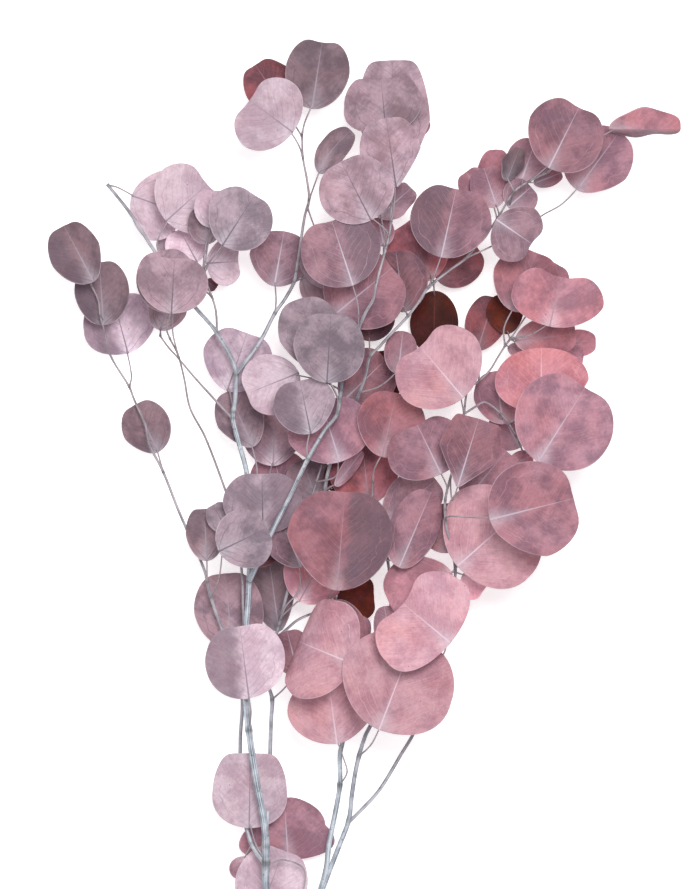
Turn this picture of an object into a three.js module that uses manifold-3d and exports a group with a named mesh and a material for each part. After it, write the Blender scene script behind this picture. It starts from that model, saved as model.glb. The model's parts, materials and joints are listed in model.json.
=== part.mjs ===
// A cut eucalyptus branch with round silver-dollar leaves, dyed mauve and rose, lying flat.
// Millimetres, +Z up. The table is the plane z = 0 and the branch's tips point along +Y.

import * as THREE from "three";
import { mergeVertices } from "three/addons/utils/BufferGeometryUtils.js";
import Module from "manifold-3d";

// Driving dimensions
const MM_PER_PIXEL = 0.7;
const ORIGIN_PIXEL = [364.1, 542.3];
const BUTT_PIXEL = [292, 1045];
const BUTT_FLAT_SIZE = 100;
const BLADE_THICKNESS = 0.75;
const PETIOLE_RADIUS = 0.75;
const PETIOLE_END_RADIUS = 0.55;
const PETIOLE_RUN_IN_BLADE = 0.08;
const SEAT_GAP = 0.3;
const STEM_SIDES = 6;
const TWIG_SIDES = 5;
const PETIOLE_SIDES = 3;
const ROD_SIDE = [0.3, 0.2, 1];
const MERGE_TOLERANCE = 0.00001;

// Blade outline: rows of points from base to tip, more on a larger leaf
const ROWS_BY_SIZE = [[26, 4], [38, 5], [50, 6], [1000, 7]];
const NOTCH_LEAST = 0.02;
const NOTCH_MORE = 0.05;
const NOTCH_OF_BROAD_LEAF = 0.22;
const BROAD_FROM = 1.1;
const NOTCH_REACH = 0.38;
const TAPER_LEAST = 0.02;
const TAPER_MORE = 0.26;
const TAPER_DIFFERENCE = 0.16;
const BLUNTNESS = 0.22;
const WAVES_PER_EDGE = 1.5;
const CURL_NEEDING_FIVE_COLUMNS = 15;

// Small differences between leaves come from a repeatable series of draws
const FIRST_SEED = 1000;
const SEED_STEP = 77;
const DRAW_FACTOR = 16807;
const DRAW_RANGE = 2147483647;
const SKIPPED_DRAWS = 3;

// Dyed leaf colours, by eye
const TONES = {
  blush: "#ccb0be",
  pink: "#d4a2ae",
  lilac: "#ae929f",
  ash: "#9d8f9b",
  dusk: "#886e79",
  mauve: "#a58190",
  heather: "#a58995",
  rosy: "#9f7281",
  rose: "#a66d7a",
  salmon: "#d38b97",
  brick: "#864e56",
  wine: "#643d47",
  maroon: "#512522",
};
const STEM_COLOR = "#8d9ba1";
const STEM_ROUGHNESS = 0.7;
const LEAF_ROUGHNESS = 0.75;

// Stems: thickness in mm at root and tip, and the route as [x pixel, y pixel, height in mm].
// From point number sprayAt on, the stem is thin and green and belongs to its spray's node.
const STEMS = {
  main: {
    thick: [5.8, 2.2],
    route: [
      [292, 1045, 2.3], [289, 1012, 3.0], [284, 985, 8], [275, 935, 15], [266, 889, 21],
      [266, 850, 27], [264, 822, 30], [258, 790, 32], [250, 740, 33], [246, 700, 34], [246, 640, 35],
      [249, 585, 35], [250, 520, 35], [247, 475, 35], [238, 440, 35], [233, 418, 36], [235, 400, 36],
      [236, 372, 36], [230, 355, 37], [215, 330, 38], [195, 307, 36], [175, 280, 35], [155, 252, 35],
      [130, 213, 36], [107, 184, 38],
    ],
  },
  crown_twig: {
    from: "main", thick: [1.8, 1.2], sprayNode: "crown_twig", sprayAt: 0,
    route: [
      [217, 331, 38], [216, 312, 37], [213, 300, 36], [208, 287, 37], [203, 270, 39],
    ],
  },
  left_twig: {
    from: "main", thick: [1.7, 1.2], sprayNode: "left_twig", sprayAt: 0,
    route: [
      [232, 418, 36], [215, 400, 33], [195, 378, 31], [178, 358, 30], [168, 347, 29], [160, 336, 27],
    ],
  },
  left_spray: {
    from: "main", thick: [2.1, 1.3], sprayNode: "left_spray", sprayAt: 0,
    route: [
      [246, 645, 34], [243, 610, 29], [242, 577, 28], [235, 520, 28], [224, 487, 30], [205, 437, 34],
      [190, 408, 36], [184, 378, 37], [178, 355, 38], [170, 339, 39],
    ],
  },
  far_left: {
    from: "main", thick: [3.0, 1.2], sprayNode: "far_left_tip", sprayAt: 9,
    route: [
      [265, 866, 25], [250, 842, 17], [241, 800, 15], [240, 740, 15], [242, 700, 17], [235, 660, 20],
      [222, 630, 25], [210, 595, 27], [204, 570, 28], [188, 533, 29], [178, 510, 29], [163, 472, 29],
      [149, 444, 29], [145, 424, 29], [134, 400, 29], [129, 387, 29], [110, 355, 30], [104, 330, 31],
      [100, 316, 32], [98, 300, 33], [91, 285, 35],
    ],
  },
  top_left: {
    from: "main", thick: [3.0, 1.3], sprayNode: "top_left_tip", sprayAt: 8,
    route: [
      [236, 374, 36], [246, 361, 38], [262, 338, 40], [275, 313, 41], [285, 299, 41], [294, 282, 41],
      [298, 262, 40], [302, 233, 40], [305, 215, 41], [309, 200, 42], [307, 180, 44], [303, 158, 46],
      [302, 135, 48],
    ],
  },
  top_middle: {
    from: "main", thick: [3.6, 1.3], sprayNode: "top_middle_tip", sprayAt: 11,
    route: [
      [249, 582, 35], [257, 565, 44], [268, 540, 53], [293, 490, 56], [308, 459, 57], [325, 430, 58],
      [337, 414, 58], [343, 375, 56], [350, 355, 55], [357, 333, 55], [366, 312, 56], [373, 300, 57],
      [376, 285, 58], [384, 255, 59], [388, 240, 59], [391, 222, 58], [391, 187, 54], [393, 160, 49],
      [391, 135, 46],
    ],
  },
  centre: {
    from: "main", thick: [3.4, 1.5], sprayNode: "centre_tip", sprayAt: 11,
    route: [
      [265, 846, 27], [267, 815, 19], [270, 790, 15], [270, 755, 14], [271, 720, 16], [272, 700, 18],
      [268, 684, 20], [270, 660, 23], [277, 632, 27], [288, 590, 29], [295, 568, 29], [299, 548, 29],
      [308, 510, 29], [313, 492, 29], [322, 465, 29],
    ],
  },
  centre_fork: {
    from: "centre", thick: [2.2, 1.6], sprayNode: "centre_fork", sprayAt: 0,
    route: [
      [275, 640, 26], [286, 630, 28], [298, 620, 30], [314, 613, 32], [328, 609, 34],
    ],
  },
  right: {
    from: "main", thick: [4.2, 1.5], sprayNode: "right_tip", sprayAt: 11,
    route: [
      [285, 992, 7], [300, 945, 9], [322, 892, 13], [331, 868, 15], [340, 845, 17], [349, 820, 20],
      [352, 795, 22], [357, 765, 24], [365, 737, 26], [372, 722, 27], [382, 670, 29], [390, 620, 31],
      [390, 580, 32], [384, 540, 33], [377, 518, 35], [373, 500, 37], [373, 482, 39],
    ],
  },
  middle: {
    from: "right", thick: [3.8, 1.3], sprayNode: "middle_tip", sprayAt: 20,
    route: [
      [318, 900, 11], [326, 870, 16], [329, 845, 18], [335, 815, 20], [340, 785, 21], [340, 755, 22],
      [343, 740, 22], [346, 700, 23], [343, 650, 25], [333, 585, 28], [325, 520, 30], [325, 490, 31],
      [330, 465, 33], [345, 425, 37], [358, 397, 40], [366, 375, 42], [370, 357, 42], [380, 346, 42],
      [390, 335, 43], [408, 316, 44], [418, 303, 45], [428, 288, 46], [450, 270, 47], [465, 259, 48],
      [480, 242, 49], [497, 219, 50], [514, 192, 51], [530, 181, 52], [547, 173, 53],
    ],
  },
  far_right: {
    from: "right", thick: [2.6, 1.3], sprayNode: "far_right_tip", sprayAt: 16,
    route: [
      [350, 822, 20], [365, 807, 20], [380, 790, 20], [400, 757, 22], [416, 728, 25], [420, 695, 28],
      [430, 668, 32], [445, 620, 40], [454, 585, 48], [455, 567, 51], [451, 548, 54], [446, 525, 58],
      [445, 500, 58], [451, 475, 56], [460, 440, 51], [464, 413, 47], [468, 390, 45], [479, 381, 44],
      [490, 370, 43], [498, 357, 42], [505, 346, 41], [511, 338, 41],
    ],
  },
  right_spray: {
    from: "far_right", thick: [1.6, 1.3], sprayNode: "right_spray", sprayAt: 0,
    route: [
      [464, 414, 47], [475, 407, 45], [485, 402, 43], [503, 416, 40], [516, 436, 39], [523, 452, 40],
    ],
  },
};

// Leaves: where the petiole leaves its stem, the points it bends at, and the blade's base and tip,
// all as [x pixel, y pixel] and at times a height in mm. The width and the height of the blade's
// middle are in mm. Angles are in degrees: pitch lifts the tip, roll lifts the left side, fold and
// cup lift the edges, arch bends base and tip down. Taper narrows the base, skew narrows it more on
// the left, blunt squares the tip and notch dents it. A leaf with rest touches the table.
const LEAVES = [
  { name: "L1", node: "far_left_tip", stem: "far_left", start: [91, 285],
    base: [94, 282], tip: [64, 226], width: 41, height: 49, pitch: -5, roll: 14,
    fold: -15, cup: -20, taper: 0.25, tone: "heather" },
  { name: "L2", node: "far_left_tip", stem: "far_left", start: [100, 316],
    base: [103, 325], tip: [99, 262], width: 39, height: 28, pitch: 6,
    roll: 10, fold: 8, taper: 0.05, tone: "dusk" },
  { name: "L3", node: "far_left_tip", stem: "far_left", start: [129, 387], via: [[131, 376]],
    base: [127, 353], tip: [112, 298], width: 56, height: 10, pitch: -5, roll: 20,
    fold: 6, taper: 0.0, skew: -0.25, rest: true, tone: "heather" },
  { name: "L4", node: "far_left_tip", stem: "far_left", start: [163, 472],
    base: [158, 452], tip: [134, 405], width: 35, height: 21, pitch: 12, roll: 11, fold: 8, tone: "dusk" },
  { name: "L55", node: "far_left_leaf_1", stem: "far_left", start: [207, 582],
    base: [207, 561], tip: [204, 509], width: 28, height: 35, pitch: -8,
    roll: -1, fold: -10, tone: "dusk" },
  { name: "L56", node: "far_left_leaf_2", stem: "far_left", start: [211, 597], via: [[219, 578]],
    base: [219, 551], tip: [267, 528], width: 44, height: 63, pitch: -2, roll: 12, fold: 6, tone: "ash" },
  { name: "L96", node: "far_left_leaf_3", stem: "far_left", start: [230, 648],
    base: [232, 650], tip: [225, 574], width: 49, height: 21, pitch: 3, roll: -1,
    fold: -8, arch: 20, taper: 0.0, tone: "dusk" },
  { name: "L97", node: "main_leaf_1", stem: "main", start: [248, 730], via: [[251, 712]],
    base: [249, 698], tip: [240, 626], width: 58, height: 56, pitch: 9, roll: 13,
    fold: 8, taper: 0.0, skew: 0.0, tone: "blush" },
  { name: "L102", node: "main_leaf_2", stem: "main", start: [266, 862], via: [[256, 846]],
    base: [249, 829], tip: [250, 754], width: 53, height: 22, pitch: 2, roll: 0, fold: -4,
    cup: -16, taper: -0.2, skew: 0.0, blunt: 0.5, tone: "blush" },
  { name: "L117", node: "right_leaf_1", stem: "right", start: [301, 944], via: [[311, 905, 5.5]],
    base: [288, 862], tip: [284, 800], width: 56, height: 7, pitch: 5, roll: -4,
    fold: 6, taper: -0.8, skew: 0.0, blunt: -0.8, tone: "rosy" },
  { name: "L119", node: "main_leaf_3", stem: "main", start: [266, 866],
    via: [[284, 861], [304, 871], [300, 900], [280, 926]],
    base: [256, 926], tip: [283, 852], width: 51, height: 12, pitch: 7, roll: -2, fold: -4, tone: "pink" },
  { name: "L120", node: "far_left_leaf_4", stem: "far_left", start: [252, 845],
    base: [244, 858], tip: [241, 881], width: 19, height: 8, pitch: 0, roll: 0, tone: "rosy" },
  { name: "L60", node: "main_leaf_4", stem: "main", start: [249, 556],
    base: [263, 534], tip: [262, 474], width: 56, height: 47, pitch: 12,
    roll: 2, fold: 8, taper: 0.05, tone: "blush" },
  { name: "L60b", node: "main_leaf_4", on: "L60", start: [253, 547],
    base: [253, 566], tip: [277, 536], width: 22, height: 28, pitch: -9, roll: -11, tone: "dusk" },
  { name: "L59", node: "main_leaf_5", stem: "main", start: [249, 500], via: [[257, 474]],
    base: [253, 447], tip: [228, 391], width: 34, height: 26, pitch: -3, roll: 3, fold: 6, tone: "dusk" },
  { name: "L63", node: "main_leaf_6", stem: "main", start: [233, 412],
    base: [227, 391], tip: [247, 333], width: 51, height: 28, pitch: 3, roll: -10, cup: 8, tone: "lilac" },
  { name: "L61", node: "main_leaf_7", stem: "main", start: [250, 512], via: [[263, 490]],
    base: [273, 466], tip: [274, 409], width: 44, height: 18, pitch: 8, roll: 4, tone: "dusk" },
  { name: "L5", node: "main_leaf_8", stem: "main", start: [108, 185], via: [[117, 187]],
    base: [131, 195], tip: [179, 212], width: 52, height: 19, pitch: -12,
    roll: -9, fold: 6, tone: "blush" },
  { name: "L6", node: "main_leaf_9", stem: "main", start: [163, 262], via: [[157, 243]],
    base: [166, 221], tip: [207, 184], width: 57, height: 35, pitch: -6,
    roll: 4, fold: 5, cup: -8, tone: "blush" },
  { name: "L8", node: "crown_twig", stem: "crown_twig", start: [203, 270], via: [[213, 258]],
    base: [223, 246], tip: [255, 196], width: 48, height: 63, pitch: -1, roll: -8, fold: 6, tone: "ash" },
  { name: "L7", node: "crown_twig", stem: "crown_twig", start: [203, 268], via: [[205, 250]],
    base: [211, 228], tip: [213, 191], width: 25, height: 49, pitch: 5, roll: 5, tone: "blush" },
  { name: "L7c", node: "crown_twig", stem: "crown_twig", start: [204, 272],
    base: [209, 244], tip: [202, 207], width: 24, height: 42, pitch: 11, roll: -7, tone: "dusk" },
  { name: "L9", node: "crown_twig", stem: "crown_twig", start: [206, 282],
    base: [197, 262], tip: [179, 229], width: 32, height: 23, pitch: -10, roll: 6, tone: "pink" },
  { name: "L9b", node: "crown_twig", stem: "crown_twig", start: [212, 297], via: [[195, 280]],
    base: [180, 263], tip: [166, 233], width: 21, height: 14, pitch: -4, roll: -7, tone: "ash" },
  { name: "L11", node: "crown_twig", stem: "crown_twig", start: [204, 274],
    base: [206, 263], tip: [238, 261], width: 34, height: 28, pitch: 2, roll: 7, cup: -8, tone: "pink" },
  { name: "L11b", node: "crown_twig", stem: "crown_twig", start: [207, 284],
    base: [205, 280], tip: [216, 287], width: 10, height: 7, pitch: 7, roll: -6, tone: "wine" },
  { name: "L12", node: "left_twig", stem: "left_twig", start: [160, 336],
    base: [159, 330], tip: [174, 290], width: 27, height: 21, pitch: 13, roll: 8, fold: 8, tone: "wine" },
  { name: "L10", node: "left_spray", stem: "left_spray", start: [170, 339], via: [[167, 329]],
    base: [172, 314], tip: [175, 259], width: 50, height: 63, pitch: -7,
    roll: -5, fold: 7, tone: "heather" },
  { name: "L10b", node: "left_spray", stem: "left_spray", start: [178, 358], via: [[173, 333]],
    base: [174, 313], tip: [161, 251], width: 43, height: 49, pitch: -2, roll: 8, tone: "heather" },
  { name: "L58", node: "left_spray", stem: "left_spray", start: [236, 527],
    base: [229, 533], tip: [213, 505], width: 19, height: 41, pitch: 4, roll: -4, tone: "ash" },
  { name: "L23", node: "top_left_leaf_1", stem: "top_left", start: [275, 313], via: [[276, 300]],
    base: [274, 286], tip: [284, 231], width: 44, height: 29, pitch: 10, roll: 9, fold: 10, tone: "rosy" },
  { name: "L15", node: "top_left_tip", stem: "top_left", start: [302, 135], via: [[305, 122]],
    base: [312, 109], tip: [322, 42], width: 45, height: 35, pitch: -11, roll: -3,
    cup: 8, taper: 0.05, notch: 0.09, tone: "dusk" },
  { name: "L13", node: "top_left_tip", stem: "top_left", start: [302, 137],
    base: [292, 119], tip: [255, 64], width: 37, height: 21, pitch: -5,
    roll: 10, cup: 18, wave: 3.5, tone: "brick" },
  { name: "L14", node: "top_left_tip", stem: "top_left", start: [303, 158], via: [[299, 146]],
    base: [293, 133], tip: [250, 101], width: 56, height: 56, pitch: 1,
    roll: -2, fold: 6, taper: 0.0, tone: "blush" },
  { name: "L16", node: "top_left_tip", stem: "top_left", start: [309, 200],
    base: [316, 171], tip: [349, 129], width: 32, height: 35, pitch: 6,
    roll: -50, arch: 30, tone: "dusk" },
  { name: "L28", node: "top_middle_leaf_1", stem: "top_middle", start: [337, 413], via: [[337, 396]],
    base: [327, 383], tip: [331, 315], width: 50, height: 77, pitch: 12, roll: -2, fold: 5, tone: "ash" },
  { name: "L27", node: "top_middle_leaf_2", stem: "top_middle", start: [338, 400],
    base: [322, 370], tip: [300, 299], width: 46, height: 56, pitch: -8, roll: 12, cup: 10, tone: "ash" },
  { name: "L65", node: "top_middle_leaf_3", stem: "top_middle", start: [308, 459], via: [[307, 448]],
    base: [311, 434], tip: [300, 381], width: 45, height: 63, pitch: -3,
    roll: -1, fold: 14, wave: 1.5, tone: "ash" },
  { name: "L64", node: "top_middle_leaf_4", stem: "top_middle", start: [341, 390], via: [[322, 381]],
    base: [299, 373], tip: [247, 394], width: 45, height: 49, pitch: 3, roll: 13, tone: "pink" },
  { name: "L25", node: "top_middle_leaf_5", stem: "top_middle", start: [358, 330], via: [[358, 307]],
    base: [353, 286], tip: [332, 222], width: 58, height: 69, pitch: 9,
    roll: 0, fold: -12, taper: 0.0, tone: "mauve" },
  { name: "L26", node: "top_left_leaf_2", stem: "top_left", start: [294, 282],
    base: [301, 276], tip: [336, 292], width: 32, height: 20, pitch: -12, roll: -13, tone: "wine" },
  { name: "L24", node: "top_left_tip", stem: "top_left", start: [307, 207],
    base: [314, 227], tip: [340, 284], width: 41, height: 32, pitch: -6, roll: 1, tone: "heather" },
  { name: "L29", node: "top_middle_leaf_6", stem: "top_middle", start: [345, 368], via: [[333, 345]],
    base: [333, 316], tip: [392, 268], width: 59, height: 42, pitch: 0,
    roll: -12, fold: -6, tone: "rosy" },
  { name: "L20", node: "top_middle_tip", stem: "top_middle", start: [388, 238], via: [[386, 231]],
    base: [371, 221], tip: [341, 163], width: 52, height: 71, pitch: 5,
    roll: 2, fold: 6, taper: -0.05, tone: "heather" },
  { name: "L19", node: "top_middle_tip", stem: "top_middle", start: [391, 222], via: [[394, 205]],
    base: [396, 188], tip: [386, 119], width: 44, height: 61, pitch: -3, roll: 4,
    fold: -14, taper: 0.42, skew: -0.22, tone: "heather" },
  { name: "L18", node: "top_middle_tip", stem: "top_middle", start: [391, 140],
    base: [386, 133], tip: [381, 79], width: 56, height: 42, pitch: -9, roll: 2,
    fold: -8, cup: -12, taper: -0.1, blunt: 0.3, tone: "heather" },
  { name: "L17", node: "top_middle_tip", stem: "top_middle", start: [391, 205],
    base: [396, 186], tip: [392, 60], width: 51, height: 32, pitch: 2, roll: 0,
    cup: -12, taper: 0.6, skew: 0.0, blunt: 0.5, tone: "heather" },
  { name: "L22", node: "top_middle_tip", stem: "top_middle", start: [391, 140],
    base: [402, 132], tip: [428, 118], width: 18, height: 21, pitch: 2, roll: 3, wave: 1, tone: "rosy" },
  { name: "L21", node: "top_middle_tip", stem: "top_middle", start: [386, 246],
    base: [378, 217], tip: [411, 188], width: 25, height: 42, pitch: 8, roll: 35, wave: 1, tone: "mauve" },
  { name: "L21c", node: "top_middle_tip", stem: "top_middle", start: [384, 254],
    base: [384, 246], tip: [378, 217], width: 19, height: 28, pitch: -13, roll: 4, tone: "rosy" },
  { name: "L91", node: "centre_leaf_1", stem: "centre", start: [279, 626],
    base: [279, 632], tip: [268, 553], width: 33, height: 14, pitch: -7,
    roll: -9, fold: 10, tone: "dusk" },
  { name: "L90", node: "centre_leaf_2", stem: "centre", start: [280, 620],
    via: [[286, 606, 36], [299, 590, 39.5]],
    base: [301, 567], tip: [284, 528], width: 33, height: 40, pitch: -1, roll: 5, fold: 8, tone: "mauve" },
  { name: "L92", node: "centre_leaf_3", stem: "centre", start: [281, 617],
    base: [299, 602], tip: [322, 560], width: 43, height: 34, pitch: 4, roll: -8, tone: "rose" },
  { name: "L99", node: "centre_leaf_4", stem: "centre", start: [272, 700], via: [[284, 689]],
    base: [298, 675], tip: [287, 631], width: 28, height: 32, pitch: 10, roll: 6, tone: "rosy" },
  { name: "L62", node: "centre_tip", stem: "centre", start: [300, 544],
    base: [291, 525], tip: [273, 455], width: 46, height: 11, pitch: -10, roll: -7, tone: "wine" },
  { name: "L68", node: "centre_tip", stem: "centre", start: [312, 494],
    base: [317, 501], tip: [302, 460], width: 34, height: 15, pitch: -5, roll: 7, tone: "maroon" },
  { name: "L66", node: "centre_tip", stem: "centre", start: [316, 482], via: [[336, 476]],
    base: [340, 462], tip: [322, 404], width: 60, height: 46, pitch: 1, roll: -6, fold: 12, tone: "rosy" },
  { name: "L95", node: "centre_fork", stem: "centre_fork", start: [324, 604], via: [[331, 595, 44]],
    base: [337, 590], tip: [345, 492], width: 76, height: 76, pitch: 7, roll: 7,
    fold: -12, taper: 0.2, skew: 0.12, blunt: 0.0, tone: "rose" },
  { name: "L94", node: "centre_fork", stem: "centre_fork", start: [320, 611],
    base: [334, 600], tip: [352, 650], width: 31, height: 42, pitch: 12, roll: -5, tone: "rose" },
  { name: "L100", node: "centre_fork", stem: "centre_fork", start: [325, 610],
    base: [337, 600], tip: [374, 597], width: 34, height: 18, pitch: -8, roll: 8, tone: "maroon" },
  { name: "L122", node: "right_leaf_2", stem: "right", start: [360, 757], via: [[372, 743]],
    base: [379, 729], tip: [413, 640], width: 81, height: 65, pitch: -2, roll: -4,
    fold: 6, taper: 0.0, skew: 0.15, tone: "rose" },
  { name: "L103", node: "right_tip", stem: "right", start: [375, 508],
    base: [369, 505], tip: [362, 440], width: 51, height: 26, pitch: 0, roll: -3, fold: 4, tone: "brick" },
  { name: "L105", node: "right_tip", stem: "right", start: [380, 528],
    base: [386, 522], tip: [436, 480], width: 37, height: 38, pitch: 9, roll: -4, tone: "mauve" },
  { name: "L106", node: "right_tip", stem: "right", start: [388, 560],
    base: [399, 567], tip: [431, 492], width: 38, height: 60, pitch: -11,
    roll: 10, fold: -22, tone: "pink" },
  { name: "L107", node: "right_tip", stem: "right", start: [390, 585],
    base: [414, 557], tip: [434, 507], width: 21, height: 35, pitch: -6, roll: -3, tone: "mauve" },
  { name: "L70", node: "right_tip", stem: "right", start: [373, 482], via: [[374, 470]],
    base: [382, 457], tip: [396, 393], width: 51, height: 52, pitch: 0,
    roll: 11, fold: 8, cup: 12, tone: "rose" },
  { name: "L121", node: "middle_leaf_1", stem: "middle", start: [340, 786],
    via: [[347, 773], [344, 760]],
    base: [337, 744], tip: [329, 684], width: 64, height: 42, pitch: 6,
    roll: -2, fold: -8, taper: 0.18, tone: "rose" },
  { name: "L93", node: "middle_leaf_2", stem: "middle", start: [345, 678], via: [[351, 668]],
    base: [345, 660], tip: [291, 638], width: 73, height: 58, pitch: -35, roll: 0, arch: 95,
    taper: -0.1, skew: 0.14, notch: 0.03, blunt: 0.5, tone: "pink" },
  { name: "L101", node: "middle_leaf_3", stem: "middle", start: [343, 655],
    base: [348, 652], tip: [364, 617], width: 19, height: 20, pitch: -9, roll: -1, tone: "rosy" },
  { name: "L104", node: "middle_leaf_4", stem: "middle", start: [326, 490],
    base: [335, 486], tip: [362, 451], width: 18, height: 38, pitch: -3, roll: 55, tone: "rosy" },
  { name: "L69", node: "middle_leaf_4", on: "L104", start: [331, 488],
    base: [331, 491], tip: [345, 461], width: 20, height: 21, pitch: 2, roll: 0, tone: "maroon" },
  { name: "L37", node: "middle_leaf_5", stem: "middle", start: [370, 357],
    base: [369, 341], tip: [372, 298], width: 35, height: 23, pitch: 8, roll: -13, tone: "wine" },
  { name: "L67", node: "middle_leaf_6", stem: "middle", start: [357, 400],
    base: [342, 402], tip: [386, 359], width: 43, height: 21, pitch: -12, roll: 1, fold: 6, tone: "rosy" },
  { name: "L36", node: "middle_leaf_6", on: "L67", start: [349, 402],
    base: [353, 398], tip: [400, 361], width: 36, height: 9, pitch: -6, roll: -12, tone: "maroon" },
  { name: "L35", node: "middle_leaf_7", stem: "middle", start: [361, 393], via: [[380, 386]],
    base: [398, 374], tip: [403, 331], width: 23, height: 35, pitch: -1, roll: 1, tone: "rosy" },
  { name: "L30", node: "middle_leaf_8", stem: "middle", start: [408, 316],
    base: [404, 312], tip: [396, 251], width: 40, height: 33, pitch: 5, roll: -11, tone: "mauve" },
  { name: "L34", node: "middle_tip", stem: "middle", start: [434, 284],
    base: [435, 290], tip: [434, 350], width: 34, height: 7, pitch: 11, roll: 2, tone: "maroon" },
  { name: "L31", node: "middle_tip", stem: "middle", start: [435, 283],
    base: [433, 279], tip: [401, 226], width: 46, height: 21, pitch: -10,
    roll: -10, cup: 8, tone: "brick" },
  { name: "L33", node: "middle_tip", stem: "middle", start: [432, 285],
    base: [437, 279], tip: [480, 250], width: 31, height: 14, pitch: -4, roll: 3, tone: "brick" },
  { name: "L32", node: "middle_tip", stem: "middle", start: [428, 288], via: [[435, 273]],
    base: [441, 258], tip: [456, 190], width: 59, height: 63, pitch: 2, roll: -10,
    fold: -12, taper: 0.1, notch: 0.08, tone: "rosy" },
  { name: "L41b", node: "middle_tip", stem: "middle", start: [487, 232],
    base: [486, 200], tip: [466, 172], width: 23, height: 30, pitch: 7, roll: 4, tone: "rosy" },
  { name: "L40", node: "middle_tip", stem: "middle", start: [497, 219],
    base: [490, 196], tip: [496, 149], width: 27, height: 21, pitch: 13, roll: 35, tone: "rose" },
  { name: "L41", node: "middle_tip", stem: "middle", start: [499, 215],
    base: [497, 207], tip: [484, 168], width: 28, height: 36, pitch: -7, roll: 5, tone: "rosy" },
  { name: "L47", node: "middle_tip", stem: "middle", start: [498, 219],
    base: [496, 220], tip: [531, 244], width: 43, height: 57, pitch: -2, roll: -8, cup: 8, tone: "mauve" },
  { name: "L45", node: "middle_tip", stem: "middle", start: [512, 195],
    base: [508, 207], tip: [531, 187], width: 26, height: 39, pitch: 4, roll: 5, tone: "mauve" },
  { name: "L42", node: "middle_tip", stem: "middle", start: [514, 192],
    base: [506, 181], tip: [519, 148], width: 26, height: 51, pitch: 10, roll: 55, wave: 1, tone: "dusk" },
  { name: "L44", node: "middle_tip", stem: "middle", start: [508, 203],
    base: [507, 198], tip: [517, 178], width: 13, height: 11, pitch: -11, roll: 6, tone: "maroon" },
  { name: "L43", node: "middle_tip", stem: "middle", start: [521, 186],
    base: [521, 182], tip: [536, 140], width: 31, height: 35, pitch: -5, roll: -6, fold: 8, tone: "rosy" },
  { name: "L46b", node: "middle_tip", stem: "middle", start: [527, 182],
    base: [534, 183], tip: [562, 172], width: 13, height: 21, pitch: 1, roll: 7, tone: "rosy" },
  { name: "L46", node: "middle_tip", stem: "middle", start: [530, 181],
    base: [548, 169], tip: [578, 109], width: 55, height: 70, pitch: 6, roll: -6,
    fold: 6, taper: 0.05, skew: 0.1, notch: 0.1, tone: "rosy" },
  { name: "L48", node: "middle_tip", stem: "middle", start: [466, 258],
    via: [[484, 250], [515, 234], [543, 215], [562, 204]],
    base: [577, 190], tip: [619, 132], width: 46, height: 44, pitch: 12,
    roll: 8, fold: 8, skew: -0.2, tone: "rosy" },
  { name: "L49", node: "middle_tip", stem: "middle", start: [547, 173], via: [[575, 152]],
    base: [608, 130], tip: [680, 130], width: 29, height: 61, pitch: -8,
    roll: 38, fold: -34, wave: 2, tone: "rose" },
  { name: "L110", node: "far_right_leaf_1", stem: "far_right", start: [421, 692],
    via: [[425, 673], [443, 654, 58]],
    base: [450, 642], tip: [403, 603], width: 77, height: 77, pitch: -3, roll: 9,
    fold: -5, taper: -0.2, skew: 0.0, tone: "pink" },
  { name: "L111", node: "far_right_leaf_2", stem: "far_right", start: [416, 728],
    via: [[425, 716], [418, 690]],
    base: [395, 658], tip: [384, 606], width: 21, height: 49, pitch: 3, roll: -4, tone: "mauve" },
  { name: "L109", node: "far_right_leaf_3", stem: "far_right", start: [455, 570],
    base: [452, 573], tip: [389, 602], width: 49, height: 56, pitch: 9, roll: 10, tone: "rose" },
  { name: "L116", node: "far_right_leaf_4", stem: "far_right", start: [455, 572],
    base: [463, 574], tip: [484, 590], width: 25, height: 35, pitch: -12, roll: -3, tone: "pink" },
  { name: "L112", node: "far_right_leaf_5", stem: "far_right", start: [455, 568],
    base: [457, 566], tip: [518, 512], width: 78, height: 58, pitch: 0,
    roll: 0, fold: -6, taper: 0.0, tone: "pink" },
  { name: "L108", node: "far_right_leaf_6", stem: "far_right", start: [452, 553],
    base: [447, 553], tip: [440, 504], width: 34, height: 46, pitch: 0, roll: -2, tone: "rose" },
  { name: "L114", node: "far_right_leaf_7", stem: "far_right", start: [444, 520],
    via: [[446, 517, 65], [453, 516, 72], [470, 517, 79]],
    base: [489, 519], tip: [572, 498], width: 69, height: 91, pitch: 5,
    roll: 11, fold: 6, taper: 0.1, tone: "rosy" },
  { name: "L113", node: "far_right_leaf_8", stem: "far_right", start: [445, 510],
    via: [[446, 507, 50], [453, 503, 50]],
    base: [466, 500], tip: [506, 451], width: 40, height: 49, pitch: 11, roll: -1, fold: 6, tone: "rosy" },
  { name: "L73", node: "far_right_leaf_9", stem: "far_right", start: [445, 500], via: [[447, 488]],
    base: [441, 474], tip: [417, 425], width: 59, height: 61, pitch: -9,
    roll: 12, fold: -14, taper: 0.0, tone: "rosy" },
  { name: "L74", node: "far_right_leaf_10", stem: "far_right", start: [450, 480], via: [[452, 500]],
    base: [457, 487], tip: [478, 419], width: 45, height: 84, pitch: -4, roll: -1,
    fold: -20, taper: 0.75, skew: 0.0, blunt: 0.7, tone: "rosy" },
  { name: "L72", node: "far_right_leaf_11", stem: "far_right", start: [464, 413],
    base: [463, 398], tip: [420, 347], width: 68, height: 63, pitch: 2, roll: 13,
    fold: 6, taper: 0.05, notch: 0.15, tone: "pink" },
  { name: "L77", node: "far_right_tip", stem: "far_right", start: [479, 381],
    base: [478, 350], tip: [494, 297], width: 29, height: 19, pitch: 8, roll: 0, tone: "rose" },
  { name: "L50", node: "far_right_tip", stem: "far_right", start: [505, 346], via: [[504, 328]],
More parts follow.
